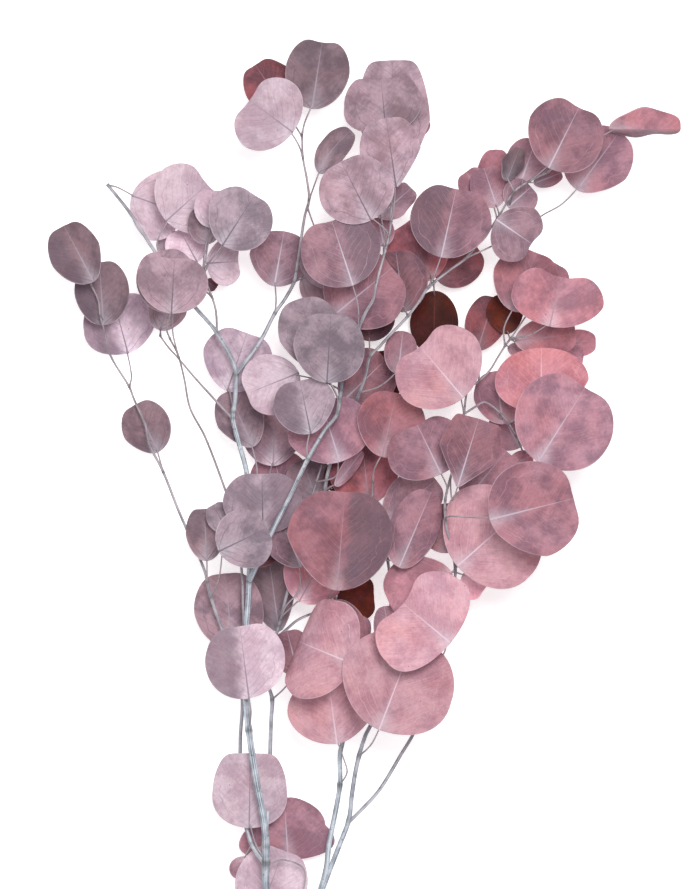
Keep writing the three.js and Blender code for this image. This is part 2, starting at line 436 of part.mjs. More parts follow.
    base: [512, 311], tip: [537, 253], width: 47, height: 42, pitch: -13,
    roll: -12, fold: 6, tone: "rose" },
  { name: "L51", node: "far_right_tip", stem: "far_right", start: [510, 340], via: [[520, 325]],
    base: [533, 306], tip: [557, 264], width: 32, height: 35, pitch: -7, roll: 1, tone: "rose" },
  { name: "L52", node: "far_right_tip", stem: "far_right", start: [511, 338], via: [[530, 335]],
    base: [549, 327], tip: [560, 278], width: 67, height: 70, pitch: -1,
    roll: -12, fold: -10, tone: "rose" },
  { name: "L78", node: "far_right_tip", stem: "far_right", start: [510, 339],
    base: [508, 334], tip: [503, 294], width: 26, height: 23, pitch: 4, roll: 2, tone: "wine" },
  { name: "L79", node: "far_right_tip", stem: "far_right", start: [511, 338],
    base: [515, 341], tip: [575, 334], width: 30, height: 42, pitch: 10, roll: -11, tone: "rosy" },
  { name: "L80", node: "far_right_tip", stem: "far_right", start: [506, 345],
    base: [508, 347], tip: [530, 352], width: 12, height: 21, pitch: -10, roll: 3, tone: "rose" },
  { name: "L81", node: "far_right_tip", stem: "far_right", start: [511, 338], via: [[535, 344]],
    base: [558, 343], tip: [597, 342], width: 19, height: 3, pitch: -7,
    roll: 5, wave: 1, rest: true, tone: "rose" },
  { name: "L82", node: "far_right_tip", stem: "far_right", start: [511, 339], via: [[530, 352]],
    base: [550, 352], tip: [584, 358], width: 18, height: 14, pitch: 1, roll: 4, wave: 1.5, tone: "rosy" },
  { name: "L76", node: "right_spray", stem: "right_spray", start: [500, 413],
    base: [503, 424], tip: [496, 371], width: 36, height: 35, pitch: 7, roll: -9, tone: "rosy" },
  { name: "L86", node: "right_spray", stem: "right_spray", start: [516, 436],
    base: [520, 448], tip: [501, 412], width: 32, height: 21, pitch: 12, roll: 4, tone: "rosy" },
  { name: "L84", node: "right_spray", stem: "right_spray", start: [508, 423],
    base: [541, 412], tip: [541, 348], width: 66, height: 56, pitch: -8, roll: -8,
    cup: -8, taper: 0.1, notch: 0.0, blunt: 0.1, tone: "salmon" },
  { name: "L85", node: "right_spray", stem: "right_spray", start: [523, 452],
    base: [537, 462], tip: [584, 388], width: 71, height: 77, pitch: -2,
    roll: 5, cup: 8, taper: 0.0, tone: "mauve" },
  { name: "L113b", node: "right_spray", stem: "right_spray", start: [523, 452],
    base: [508, 470], tip: [531, 455], width: 15, height: 42, pitch: 3, roll: -7, tone: "salmon" },
];

const wasm = await Module();
wasm.setup();

const radians = THREE.MathUtils.degToRad;

// A repeatable series of draws between 0 and 1 for one leaf
function draws(number, count) {
  const list = [];
  let state = FIRST_SEED + SEED_STEP * number;
  for (let i = 0; i < count + SKIPPED_DRAWS; i++) {
    state = (state * DRAW_FACTOR) % DRAW_RANGE;
    list.push(state / DRAW_RANGE);
  }
  return list.slice(SKIPPED_DRAWS);
}

function place([x, y], height = 0) {
  return new THREE.Vector3(
    (x - ORIGIN_PIXEL[0]) * MM_PER_PIXEL,
    (ORIGIN_PIXEL[1] - y) * MM_PER_PIXEL,
    height,
  );
}

function toSolid(positions, triangles) {
  let geometry = new THREE.BufferGeometry();
  geometry.setAttribute("position", new THREE.Float32BufferAttribute(positions, 3));
  geometry.setIndex(triangles);
  geometry = mergeVertices(geometry, MERGE_TOLERANCE);
  return new wasm.Manifold(new wasm.Mesh({
    numProp: 3,
    vertProperties: Float32Array.from(geometry.attributes.position.array),
    triVerts: Uint32Array.from(geometry.index.array),
  }));
}

function toMesh(solid, name, color, roughness) {
  const { vertProperties, triVerts } = solid.getMesh();
  const geometry = new THREE.BufferGeometry();
  geometry.setAttribute("position", new THREE.Float32BufferAttribute(vertProperties, 3));
  geometry.setIndex(Array.from(triVerts));
  geometry.computeVertexNormals();
  const mesh = new THREE.Mesh(
    geometry,
    new THREE.MeshStandardMaterial({ color, roughness, metalness: 0 }),
  );
  mesh.name = name;
  return mesh;
}

function join(solids) {
  return solids.reduce((whole, solid) => whole.add(solid));
}

// A round rod along a path, with its own radius at each point and flat ends
function rod(path, radii, sides) {
  const positions = [];
  const triangles = [];
  let side = new THREE.Vector3(...ROD_SIDE);
  path.forEach((point, i) => {
    const before = path[Math.max(i - 1, 0)];
    const after = path[Math.min(i + 1, path.length - 1)];
    const along = after.clone().sub(before).normalize();
    side = side.clone().addScaledVector(along, -side.dot(along)).normalize();
    const other = along.clone().cross(side);
    for (let k = 0; k < sides; k++) {
      const angle = (2 * Math.PI * k) / sides;
      const rim = point.clone()
        .addScaledVector(side, radii[i] * Math.cos(angle))
        .addScaledVector(other, radii[i] * Math.sin(angle));
      positions.push(...rim.toArray());
    }
  });
  const at = (ring, k) => ring * sides + (k % sides);
  for (let ring = 0; ring < path.length - 1; ring++) {
    for (let k = 0; k < sides; k++) {
      triangles.push(at(ring, k), at(ring, k + 1), at(ring + 1, k + 1));
      triangles.push(at(ring, k), at(ring + 1, k + 1), at(ring + 1, k));
    }
  }
  const last = path.length - 1;
  for (let k = 1; k < sides - 1; k++) {
    triangles.push(at(0, 0), at(0, k + 1), at(0, k));
    triangles.push(at(last, 0), at(last, k), at(last, k + 1));
  }
  return toSolid(positions, triangles);
}

// Where a stem's route comes closest in plan to a pixel of the photo
function nearestOnRoute(route, pixel) {
  const target = place(pixel);
  let best = { distance: Infinity };
  for (let i = 0; i < route.length - 1; i++) {
    const start = route[i];
    const step = route[i + 1].clone().sub(start);
    const reach = target.clone().sub(start);
    const plan = (step.x * reach.x + step.y * reach.y) / (step.x ** 2 + step.y ** 2);
    const point = start.clone().addScaledVector(step, THREE.MathUtils.clamp(plan, 0, 1));
    const distance = Math.hypot(point.x - target.x, point.y - target.y);
    if (distance < best.distance) {
      best = { distance, point };
    }
  }
  return best.point;
}

function stemPath(stem) {
  return stem.route.map(([x, y, height]) => place([x, y], height));
}

function stemRadii(stem) {
  const [root, tip] = stem.thick;
  const path = stemPath(stem);
  const lengths = [0];
  for (let i = 1; i < path.length; i++) {
    lengths.push(lengths[i - 1] + path[i].distanceTo(path[i - 1]));
  }
  return lengths.map((length) => THREE.MathUtils.lerp(root, tip, length / lengths.at(-1)) / 2);
}

// One stretch of a stem, made thicker all round and longer at both ends by grow
function stemRod(stem, first, last, sides, grow = 0) {
  const path = stemPath(stem).slice(first, last + 1);
  const radii = stemRadii(stem).slice(first, last + 1).map((radius) => radius + grow);
  const lengthen = (end, next) => end.add(end.clone().sub(next).setLength(grow));
  if (grow > 0) {
    lengthen(path[0], path[1]);
    lengthen(path.at(-1), path.at(-2));
  }
  return rod(path, radii, sides);
}

// The leaf blade as a surface: a point at some way along the midrib and out to one side
function bladeSurface(leaf, number) {
  const [notchDraw, phaseDraw, taperDraw, sideDraw, bluntDraw] = draws(number, 5);
  const phase = 2 * Math.PI * phaseDraw;
  const taper = leaf.taper ?? TAPER_LEAST + TAPER_MORE * taperDraw;
  const skew = leaf.skew ?? TAPER_DIFFERENCE * (2 * sideDraw - 1);
  const blunt = leaf.blunt ?? BLUNTNESS * bluntDraw;
  const pitch = radians(leaf.pitch);
  const roll = radians(leaf.roll);
  const fold = radians(leaf.fold ?? 0);
  const arch = radians(leaf.arch ?? 0);
  const half = leaf.width / 2;
  const curl = radians(leaf.cup ?? 0) / half;
  const base = place(leaf.base);
  const tip = place(leaf.tip);
  const middle = base.clone().add(tip).multiplyScalar(0.5);
  const forward = tip.clone().sub(base).normalize();
  const left = new THREE.Vector3(-forward.y, forward.x, 0);
  const up = new THREE.Vector3(0, 0, 1);
  const along = forward.clone().multiplyScalar(Math.cos(pitch)).addScaledVector(up, Math.sin(pitch));
  const level = up.clone().multiplyScalar(Math.cos(pitch)).addScaledVector(forward, -Math.sin(pitch));
  const across = left.clone().multiplyScalar(Math.cos(roll)).addScaledVector(level, Math.sin(roll));
  const out = level.clone().multiplyScalar(Math.cos(roll)).addScaledVector(left, -Math.sin(roll));
  const chord = base.distanceTo(tip) / Math.cos(pitch);
  const bow = Math.abs(arch) / 2;
  const length = bow > 0 ? (chord * bow) / Math.sin(bow) : chord;
  const bend = arch / length;
  const broad = Math.max(0, leaf.width / length - BROAD_FROM);
  const notch = leaf.notch ?? NOTCH_LEAST + NOTCH_MORE * notchDraw + NOTCH_OF_BROAD_LEAF * broad;

  // Distance along the midrib and half width of the outline, for a turn from base (0) to tip (pi)
  function edge(turn, side) {
    const straight = length * (0.5 - 0.5 * Math.cos(turn));
    const dent = Math.exp(-(((Math.PI - turn) / NOTCH_REACH) ** 2));
    const along = straight * (1 + notch) - notch * length * dent;
    const nearBase = Math.max(0, Math.cos(turn));
    const nearTip = Math.max(0, -Math.cos(turn));
    const round = Math.sin(turn) ** (1 - blunt * nearTip);
    return { straight, along, reach: half * round * (1 - (taper + side * skew) * nearBase) };
  }

  // Point of the blade, out to fraction of the outline on one side, lifted off the surface
  function point(turn, side, fraction, lift = 0) {
    const { straight, along: outer, reach } = edge(turn, side);
    const run = straight + (outer - straight) * fraction * fraction;
    const away = reach * fraction;
    let sideways = away * Math.cos(fold);
    let rise = away * Math.sin(fold);
    if (curl !== 0) {
      sideways = (Math.sin(fold + curl * away) - Math.sin(fold)) / curl;
      rise = (Math.cos(fold) - Math.cos(fold + curl * away)) / curl;
    }
    const swing = Math.sin((2 * Math.PI * WAVES_PER_EDGE * run) / length + phase + side);
    rise += (leaf.wave ?? 0) * (away / half) ** 2 * swing + lift;
    const fromMiddle = run - length / 2;
    const lean = bend * fromMiddle;
    const forwardBy = bend === 0 ? fromMiddle : Math.sin(lean) / bend;
    const dropBy = bend === 0 ? 0 : (1 - Math.cos(lean)) / bend;
    return middle.clone()
      .addScaledVector(along, forwardBy + rise * Math.sin(lean))
      .addScaledVector(across, side * sideways)
      .addScaledVector(out, rise * Math.cos(lean) - dropBy);
  }

  return { point, size: Math.max(length, leaf.width) };
}

// The blade as a closed solid, split into the same triangles on both faces
function bladeSolid(surface, leaf, height) {
  const rows = ROWS_BY_SIZE.find(([size]) => surface.size < size)[1];
  const curled = Math.abs(leaf.cup ?? 0) > CURL_NEEDING_FIVE_COLUMNS;
  const columns = curled ? [1, 0.5, 0, -0.5, -1] : [1, 0, -1];
  const places = [[0, 1, 0]];
  for (let row = 1; row < rows; row++) {
    columns.forEach((column) => {
      places.push([(Math.PI * row) / rows, column < 0 ? -1 : 1, Math.abs(column)]);
    });
  }
  places.push([Math.PI, 1, 0]);
  const positions = [];
  for (const lift of [BLADE_THICKNESS / 2, -BLADE_THICKNESS / 2]) {
    for (const [turn, side, fraction] of places) {
      const point = surface.point(turn, side, fraction, lift);
      point.z += height;
      positions.push(...point.toArray());
    }
  }
  const wide = columns.length;
  const at = (row, column) => 1 + (row - 1) * wide + column;
  const tip = places.length - 1;
  const face = [];
  for (let column = 0; column < wide - 1; column++) {
    face.push([0, at(1, column + 1), at(1, column)]);
    face.push([tip, at(rows - 1, column), at(rows - 1, column + 1)]);
    for (let row = 1; row < rows - 1; row++) {
      face.push([at(row, column), at(row, column + 1), at(row + 1, column)]);
      face.push([at(row, column + 1), at(row + 1, column + 1), at(row + 1, column)]);
    }
  }
  const right = [];
  const left = [];
  for (let row = 1; row < rows; row++) {
    right.push(at(row, wide - 1));
    left.unshift(at(row, 0));
  }
  const rim = [0, ...right, tip, ...left];
  const under = places.length;
  const triangles = face.flatMap(([a, b, c]) => [a, b, c, a + under, c + under, b + under]);
  rim.forEach((here, i) => {
    const next = rim[(i + 1) % rim.length];
    triangles.push(here + under, next + under, next, here + under, next, here);
  });
  return toSolid(positions, triangles);
}

// The petiole's path: out of the stem, round its bends and into the blade
function petiolePath(leaf, surface, height, start) {
  const lift = new THREE.Vector3(0, 0, height);
  const base = surface.point(0, 1, 0).add(lift);
  const inside = surface.point(Math.acos(1 - 2 * PETIOLE_RUN_IN_BLADE), 1, 0).add(lift);
  const bends = (leaf.via ?? []).map((pixel) => place(pixel, pixel[2]));
  const plan = [start, ...bends, base];
  const runs = [0];
  for (let i = 1; i < plan.length; i++) {
    runs.push(runs[i - 1] + Math.hypot(plan[i].x - plan[i - 1].x, plan[i].y - plan[i - 1].y));
  }
  bends.forEach((bend, i) => {
    bend.z = leaf.via[i][2] ?? THREE.MathUtils.lerp(start.z, base.z, runs[i + 1] / runs.at(-1));
  });
  return [start, ...bends, inside];
}

function bladeHeight(surface, leaf) {
  if (!leaf.rest) {
    return leaf.height;
  }
  let lowest = Infinity;
  const rows = ROWS_BY_SIZE.find(([size]) => surface.size < size)[1];
  for (let row = 0; row <= rows; row++) {
    for (const side of [1, -1]) {
      lowest = Math.min(lowest, surface.point((Math.PI * row) / rows, side, 1, -BLADE_THICKNESS / 2).z);
    }
  }
  return -lowest;
}

// The table's side of the butt is pressed flat
function aboveTable(solid) {
  const below = new THREE.BoxGeometry(BUTT_FLAT_SIZE, BUTT_FLAT_SIZE, BUTT_FLAT_SIZE);
  below.translate(...place(BUTT_PIXEL, -BUTT_FLAT_SIZE / 2).toArray());
  below.deleteAttribute("normal");
  below.deleteAttribute("uv");
  return solid.subtract(toSolid(below.attributes.position.array, Array.from(below.index.array)));
}

const group = new THREE.Group();

// The woody stems grow as one piece
const woodyRods = (grow) => Object.values(STEMS)
  .filter((stem) => stem.sprayAt !== 0)
  .map((stem) => stemRod(stem, 0, stem.sprayAt ?? stem.route.length - 1, STEM_SIDES, grow));
const wood = aboveTable(join(woodyRods(0)));
const seat = join(woodyRods(SEAT_GAP));
group.add(toMesh(wood, "main_stem", STEM_COLOR, STEM_ROUGHNESS));

// Each spray or leaf is joined in one solid and seated on the wood
const nodes = new Map();
const paths = new Map();
for (const stem of Object.values(STEMS)) {
  if (stem.sprayNode) {
    const last = stem.route.length - 1;
    nodes.set(stem.sprayNode, { solids: [stemRod(stem, stem.sprayAt, last, TWIG_SIDES)], largest: 0 });
  }
}
LEAVES.forEach((leaf, number) => {
  const surface = bladeSurface(leaf, number);
  const height = bladeHeight(surface, leaf);
  const route = leaf.on ? paths.get(leaf.on) : stemPath(STEMS[leaf.stem]);
  const path = petiolePath(leaf, surface, height, nearestOnRoute(route, leaf.start));
  paths.set(leaf.name, path);
  const radii = path.map((_, i) => (i < path.length - 1 ? PETIOLE_RADIUS : PETIOLE_END_RADIUS));
  const node = nodes.get(leaf.node) ?? { solids: [], largest: 0 };
  node.solids.push(bladeSolid(surface, leaf, height), rod(path, radii, PETIOLE_SIDES));
  if (surface.size > node.largest) {
    node.largest = surface.size;
    node.tone = leaf.tone;
  }
  nodes.set(leaf.node, node);
});
for (const [name, { solids, tone }] of nodes) {
  group.add(toMesh(join(solids).subtract(seat), name, TONES[tone], LEAF_ROUGHNESS));
}

export default group;
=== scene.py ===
"""A cut eucalyptus branch with round silver-dollar leaves, dyed mauve and rose, lying on a pale floor."""
import json
import math

import bpy
import numpy as np
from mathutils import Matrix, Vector


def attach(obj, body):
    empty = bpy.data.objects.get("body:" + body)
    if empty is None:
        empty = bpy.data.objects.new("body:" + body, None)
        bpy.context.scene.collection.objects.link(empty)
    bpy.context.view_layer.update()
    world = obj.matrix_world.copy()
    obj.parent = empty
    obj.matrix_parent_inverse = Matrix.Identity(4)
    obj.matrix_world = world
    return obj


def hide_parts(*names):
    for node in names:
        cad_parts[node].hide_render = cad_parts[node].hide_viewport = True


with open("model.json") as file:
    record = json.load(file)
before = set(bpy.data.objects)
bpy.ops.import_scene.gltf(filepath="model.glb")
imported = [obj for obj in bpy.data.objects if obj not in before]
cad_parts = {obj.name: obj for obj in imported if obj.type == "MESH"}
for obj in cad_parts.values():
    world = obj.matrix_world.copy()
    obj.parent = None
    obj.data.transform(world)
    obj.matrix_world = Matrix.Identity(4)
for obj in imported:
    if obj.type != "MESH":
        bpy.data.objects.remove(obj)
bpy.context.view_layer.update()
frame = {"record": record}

bl_info = {
    "name": "Eucalyptus branch",
    "version": (1, 0, 0),
    "blender": (4, 5, 0),
    "location": "3D View > Sidebar > Branch",
    "description": "Grows a dyed, preserved branch of round-leaved eucalyptus over its CAD frame",
    "category": "Add Mesh",
}

MM = 0.001
MM_PER_PIXEL = 0.7
ORIGIN_PIXEL = (364.1, 542.3)
FRAME_PIXELS = (700, 889)

# Blade outline and small differences between leaves, as in the solids
NOTCH_LEAST = 0.02
NOTCH_MORE = 0.05
NOTCH_OF_BROAD_LEAF = 0.22
BROAD_FROM = 1.1
NOTCH_REACH = 0.38
TAPER_LEAST = 0.02
TAPER_MORE = 0.26
TAPER_DIFFERENCE = 0.16
BLUNTNESS = 0.22
WAVES_PER_EDGE = 1.5
FIRST_SEED = 1000
SEED_STEP = 77
DRAW_FACTOR = 16807
DRAW_RANGE = 2147483647
SKIPPED_DRAWS = 3
CAD_BLADE_THICKNESS = 0.75
ALMOST_FLAT = 1e-6
PETIOLE_SUNK = 0.08
ROWS_BY_SIZE = ((26, 4), (38, 5), (50, 6), (1000, 7))

# Finer form than the solids have: how the blade thins to its edge, the midrib's width in mm and how it
# fades towards the tip, and the leaf half as wide that ripples in full
EDGE_THINNING = 0.35
MIDRIB_WIDTH = 0.7
MIDRIB_FADE = 0.7
FULL_RIPPLE_HALF_WIDTH = 25
RIPPLES = ((1.0, 1.3, 2), (0.6, 2.7, -1))
RIPPLE_TURN = 6.3

# Length in mm of a step along a stem and along a petiole
STEM_STEP = 2.2
PETIOLE_STEP = 1.6

# A stem's swelling where something leaves it reaches so many mm, and this share of the radius more
SWELLING_REACH = 1.4
SWELLING_OF_RADIUS = 0.5

# Scars where something leaves a stem: how dark they are, and their reach in mm on stout and thin stems
SCAR_DARKNESS = 0.7
STOUT_SCAR_REACH = 1.6
THIN_SCAR_REACH = 1.2

# A petiole's foot is thicker and darker than the rest, over these lengths in mm, and it thins to its blade
FOOT_SWELLING = 0.55
FOOT_LENGTH = 2.5
FOOT_DARKNESS = 0.5
FOOT_SCAR_LENGTH = 1.5
PETIOLE_THINNING = 0.25

# How often a leaf's patterns come back in each mm: slow clouds and drifts of dye 20 and 31 mm across,
# wandering veins, meshes and mottles of 2.4 mm, and places for specks 8 mm apart
CLOUDS = 0.05
DRIFTS = 0.032
WANDERS = 0.09
STRAYS = 0.05
MESHES = 0.42
MOTTLES = 0.42
SPECKS = 0.13

# Half the distance in mm from one side vein to the next
HALF_VEIN_SPACING = 2.6

# How often the stems' patterns come back in each metre: patches of wax and painted highlight 9 mm across,
# dots of 2.4 mm and wood grain of 1.1 mm, and streaks three round a stem and about 70 mm long, of wax and
# bare bark that also paint highlight and shade
PATCHES = 110.0
DOTS = 420.0
GRAIN = 900.0
STREAKS = (3.0, 3.0, 15.0)

# Lights: their place in metres, the side of their square and their power
LIGHTS = {
    "key light": ((0.4, 1.0, 2.95), 1.2, 70),
    "fill light": ((-1.6, -0.6, 2.6), 2.4, 20),
}

# How light a leaf is within its tone, unless its own line says. The lines' values are partly the leaf's
# own dye and partly painted light and shade: lower for leaves that lie in shade, higher for leaves that
# other leaves shadow
LIGHT_LEAST = 0.93
LIGHT_MORE = 0.12

# Each dyed tone: the colour where the dye is clear, the greyer cloud in it, the midrib and the veins
TONES = {
    "blush": ("#dfc6d1", "#c2a4b2", "#93798a", "#a58a99"),
    "pink": ("#dba6b1", "#c08998", "#dcc3cf", "#e2bcc6"),
    "lilac": ("#cab1be", "#a38b9b", "#7f6979", "#876f80"),
    "ash": ("#ae98a3", "#84737e", "#6a5c69", "#6c5f6c"),
    "heather": ("#b798a4", "#8f747e", "#6e5864", "#735c6a"),
    "dusk": ("#957982", "#725c66", "#a494a0", "#6b5763"),
    "mauve": ("#b38c99", "#8c6a78", "#cdc5d1", "#c6a4b1"),
    "rosy": ("#ae7c89", "#875f6e", "#c4b6c3", "#bf94a1"),
    "rose": ("#b87a85", "#90606d", "#a58490", "#ba8590"),
    "salmon": ("#dd949f", "#c07885", "#e8cad1", "#e8b3bb"),
    "brick": ("#98575f", "#6a3e46", "#a58691", "#a36771"),
    "wine": ("#6f414a", "#4c303b", "#82626c", "#7d505a"),
    "maroon": ("#521d18", "#381512", "#67332e", "#5b2824"),
}

# How much of the pale wax stays round a leaf's base and edge; the darkest dyes cover it
WAX_SHARE = 0.42
WAX_SHARE_OF_DARK = {"maroon": 0.03, "wine": 0.12, "brick": 0.22}

# Stems: thickness in mm at root and tip, the route as (x pixel, y pixel, height in mm), and from
# which point the stem is thin and belongs to which spray
STEMS = {
    "main": {
        "thick": (5.8, 2.2),
        "route": [
            (292, 1045, 2.3), (289, 1012, 3.0), (284, 985, 8), (275, 935, 15), (266, 889, 21),
            (266, 850, 27), (264, 822, 30), (258, 790, 32), (250, 740, 33), (246, 700, 34), (246, 640, 35),
            (249, 585, 35), (250, 520, 35), (247, 475, 35), (238, 440, 35), (233, 418, 36), (235, 400, 36),
            (236, 372, 36), (230, 355, 37), (215, 330, 38), (195, 307, 36), (175, 280, 35), (155, 252, 35),
            (130, 213, 36), (107, 184, 38),
        ],
    },
    "crown_twig": {
        "from": "main", "thick": (1.8, 1.2), "spray": "crown_twig", "spray_at": 0,
        "route": [
            (217, 331, 38), (216, 312, 37), (213, 300, 36), (208, 287, 37), (203, 270, 39),
        ],
    },
    "left_twig": {
        "from": "main", "thick": (1.7, 1.2), "spray": "left_twig", "spray_at": 0,
        "route": [
            (232, 418, 36), (215, 400, 33), (195, 378, 31), (178, 358, 30), (168, 347, 29), (160, 336, 27),
        ],
    },
    "left_spray": {
        "from": "main", "thick": (2.1, 1.3), "spray": "left_spray", "spray_at": 0,
        "route": [
            (246, 645, 34), (243, 610, 29), (242, 577, 28), (235, 520, 28), (224, 487, 30), (205, 437, 34),
            (190, 408, 36), (184, 378, 37), (178, 355, 38), (170, 339, 39),
        ],
    },
    "far_left": {
        "from": "main", "thick": (3.0, 1.2), "spray": "far_left_tip", "spray_at": 9,
        "route": [
            (265, 866, 25), (250, 842, 17), (241, 800, 15), (240, 740, 15), (242, 700, 17), (235, 660, 20),
            (222, 630, 25), (210, 595, 27), (204, 570, 28), (188, 533, 29), (178, 510, 29), (163, 472, 29),
            (149, 444, 29), (145, 424, 29), (134, 400, 29), (129, 387, 29), (110, 355, 30), (104, 330, 31),
            (100, 316, 32), (98, 300, 33), (91, 285, 35),
        ],
    },
    "top_left": {
        "from": "main", "thick": (3.0, 1.3), "spray": "top_left_tip", "spray_at": 8,
        "route": [
            (236, 374, 36), (246, 361, 38), (262, 338, 40), (275, 313, 41), (285, 299, 41), (294, 282, 41),
            (298, 262, 40), (302, 233, 40), (305, 215, 41), (309, 200, 42), (307, 180, 44), (303, 158, 46),
            (302, 135, 48),
        ],
    },
    "top_middle": {
        "from": "main", "thick": (3.6, 1.3), "spray": "top_middle_tip", "spray_at": 11,
        "route": [
            (249, 582, 35), (257, 565, 44), (268, 540, 53), (293, 490, 56), (308, 459, 57), (325, 430, 58),
            (337, 414, 58), (343, 375, 56), (350, 355, 55), (357, 333, 55), (366, 312, 56), (373, 300, 57),
            (376, 285, 58), (384, 255, 59), (388, 240, 59), (391, 222, 58), (391, 187, 54), (393, 160, 49),
            (391, 135, 46),
        ],
    },
    "centre": {
        "from": "main", "thick": (3.4, 1.5), "spray": "centre_tip", "spray_at": 11,
        "route": [
            (265, 846, 27), (267, 815, 19), (270, 790, 15), (270, 755, 14), (271, 720, 16), (272, 700, 18),
            (268, 684, 20), (270, 660, 23), (277, 632, 27), (288, 590, 29), (295, 568, 29), (299, 548, 29),
            (308, 510, 29), (313, 492, 29), (322, 465, 29),
        ],
    },
    "centre_fork": {
        "from": "centre", "thick": (2.2, 1.6), "spray": "centre_fork", "spray_at": 0,
        "route": [
            (275, 640, 26), (286, 630, 28), (298, 620, 30), (314, 613, 32), (328, 609, 34),
        ],
    },
    "right": {
        "from": "main", "thick": (4.2, 1.5), "spray": "right_tip", "spray_at": 11,
        "route": [
            (285, 992, 7), (300, 945, 9), (322, 892, 13), (331, 868, 15), (340, 845, 17), (349, 820, 20),
            (352, 795, 22), (357, 765, 24), (365, 737, 26), (372, 722, 27), (382, 670, 29), (390, 620, 31),
            (390, 580, 32), (384, 540, 33), (377, 518, 35), (373, 500, 37), (373, 482, 39),
        ],
    },
    "middle": {
        "from": "right", "thick": (3.8, 1.3), "spray": "middle_tip", "spray_at": 20,
        "route": [
            (318, 900, 11), (326, 870, 16), (329, 845, 18), (335, 815, 20), (340, 785, 21), (340, 755, 22),
            (343, 740, 22), (346, 700, 23), (343, 650, 25), (333, 585, 28), (325, 520, 30), (325, 490, 31),
            (330, 465, 33), (345, 425, 37), (358, 397, 40), (366, 375, 42), (370, 357, 42), (380, 346, 42),
            (390, 335, 43), (408, 316, 44), (418, 303, 45), (428, 288, 46), (450, 270, 47), (465, 259, 48),
            (480, 242, 49), (497, 219, 50), (514, 192, 51), (530, 181, 52), (547, 173, 53),
        ],
    },
    "far_right": {
        "from": "right", "thick": (2.6, 1.3), "spray": "far_right_tip", "spray_at": 16,
        "route": [
            (350, 822, 20), (365, 807, 20), (380, 790, 20), (400, 757, 22), (416, 728, 25), (420, 695, 28),
            (430, 668, 32), (445, 620, 40), (454, 585, 48), (455, 567, 51), (451, 548, 54), (446, 525, 58),
            (445, 500, 58), (451, 475, 56), (460, 440, 51), (464, 413, 47), (468, 390, 45), (479, 381, 44),
            (490, 370, 43), (498, 357, 42), (505, 346, 41), (511, 338, 41),
        ],
    },
    "right_spray": {
        "from": "far_right", "thick": (1.6, 1.3), "spray": "right_spray", "spray_at": 0,
        "route": [
            (464, 414, 47), (475, 407, 45), (485, 402, 43), (503, 416, 40), (516, 436, 39), (523, 452, 40),
        ],
    },
}


def leaf(start, base, tip, width, height, pitch, roll, tone, **more):
    """One leaf's readings: start, base and tip in pixels, width and height in mm, angles in degrees."""
    return dict(start=start, base=base, tip=tip, width=width, height=height,
                pitch=pitch, roll=roll, tone=tone, **more)
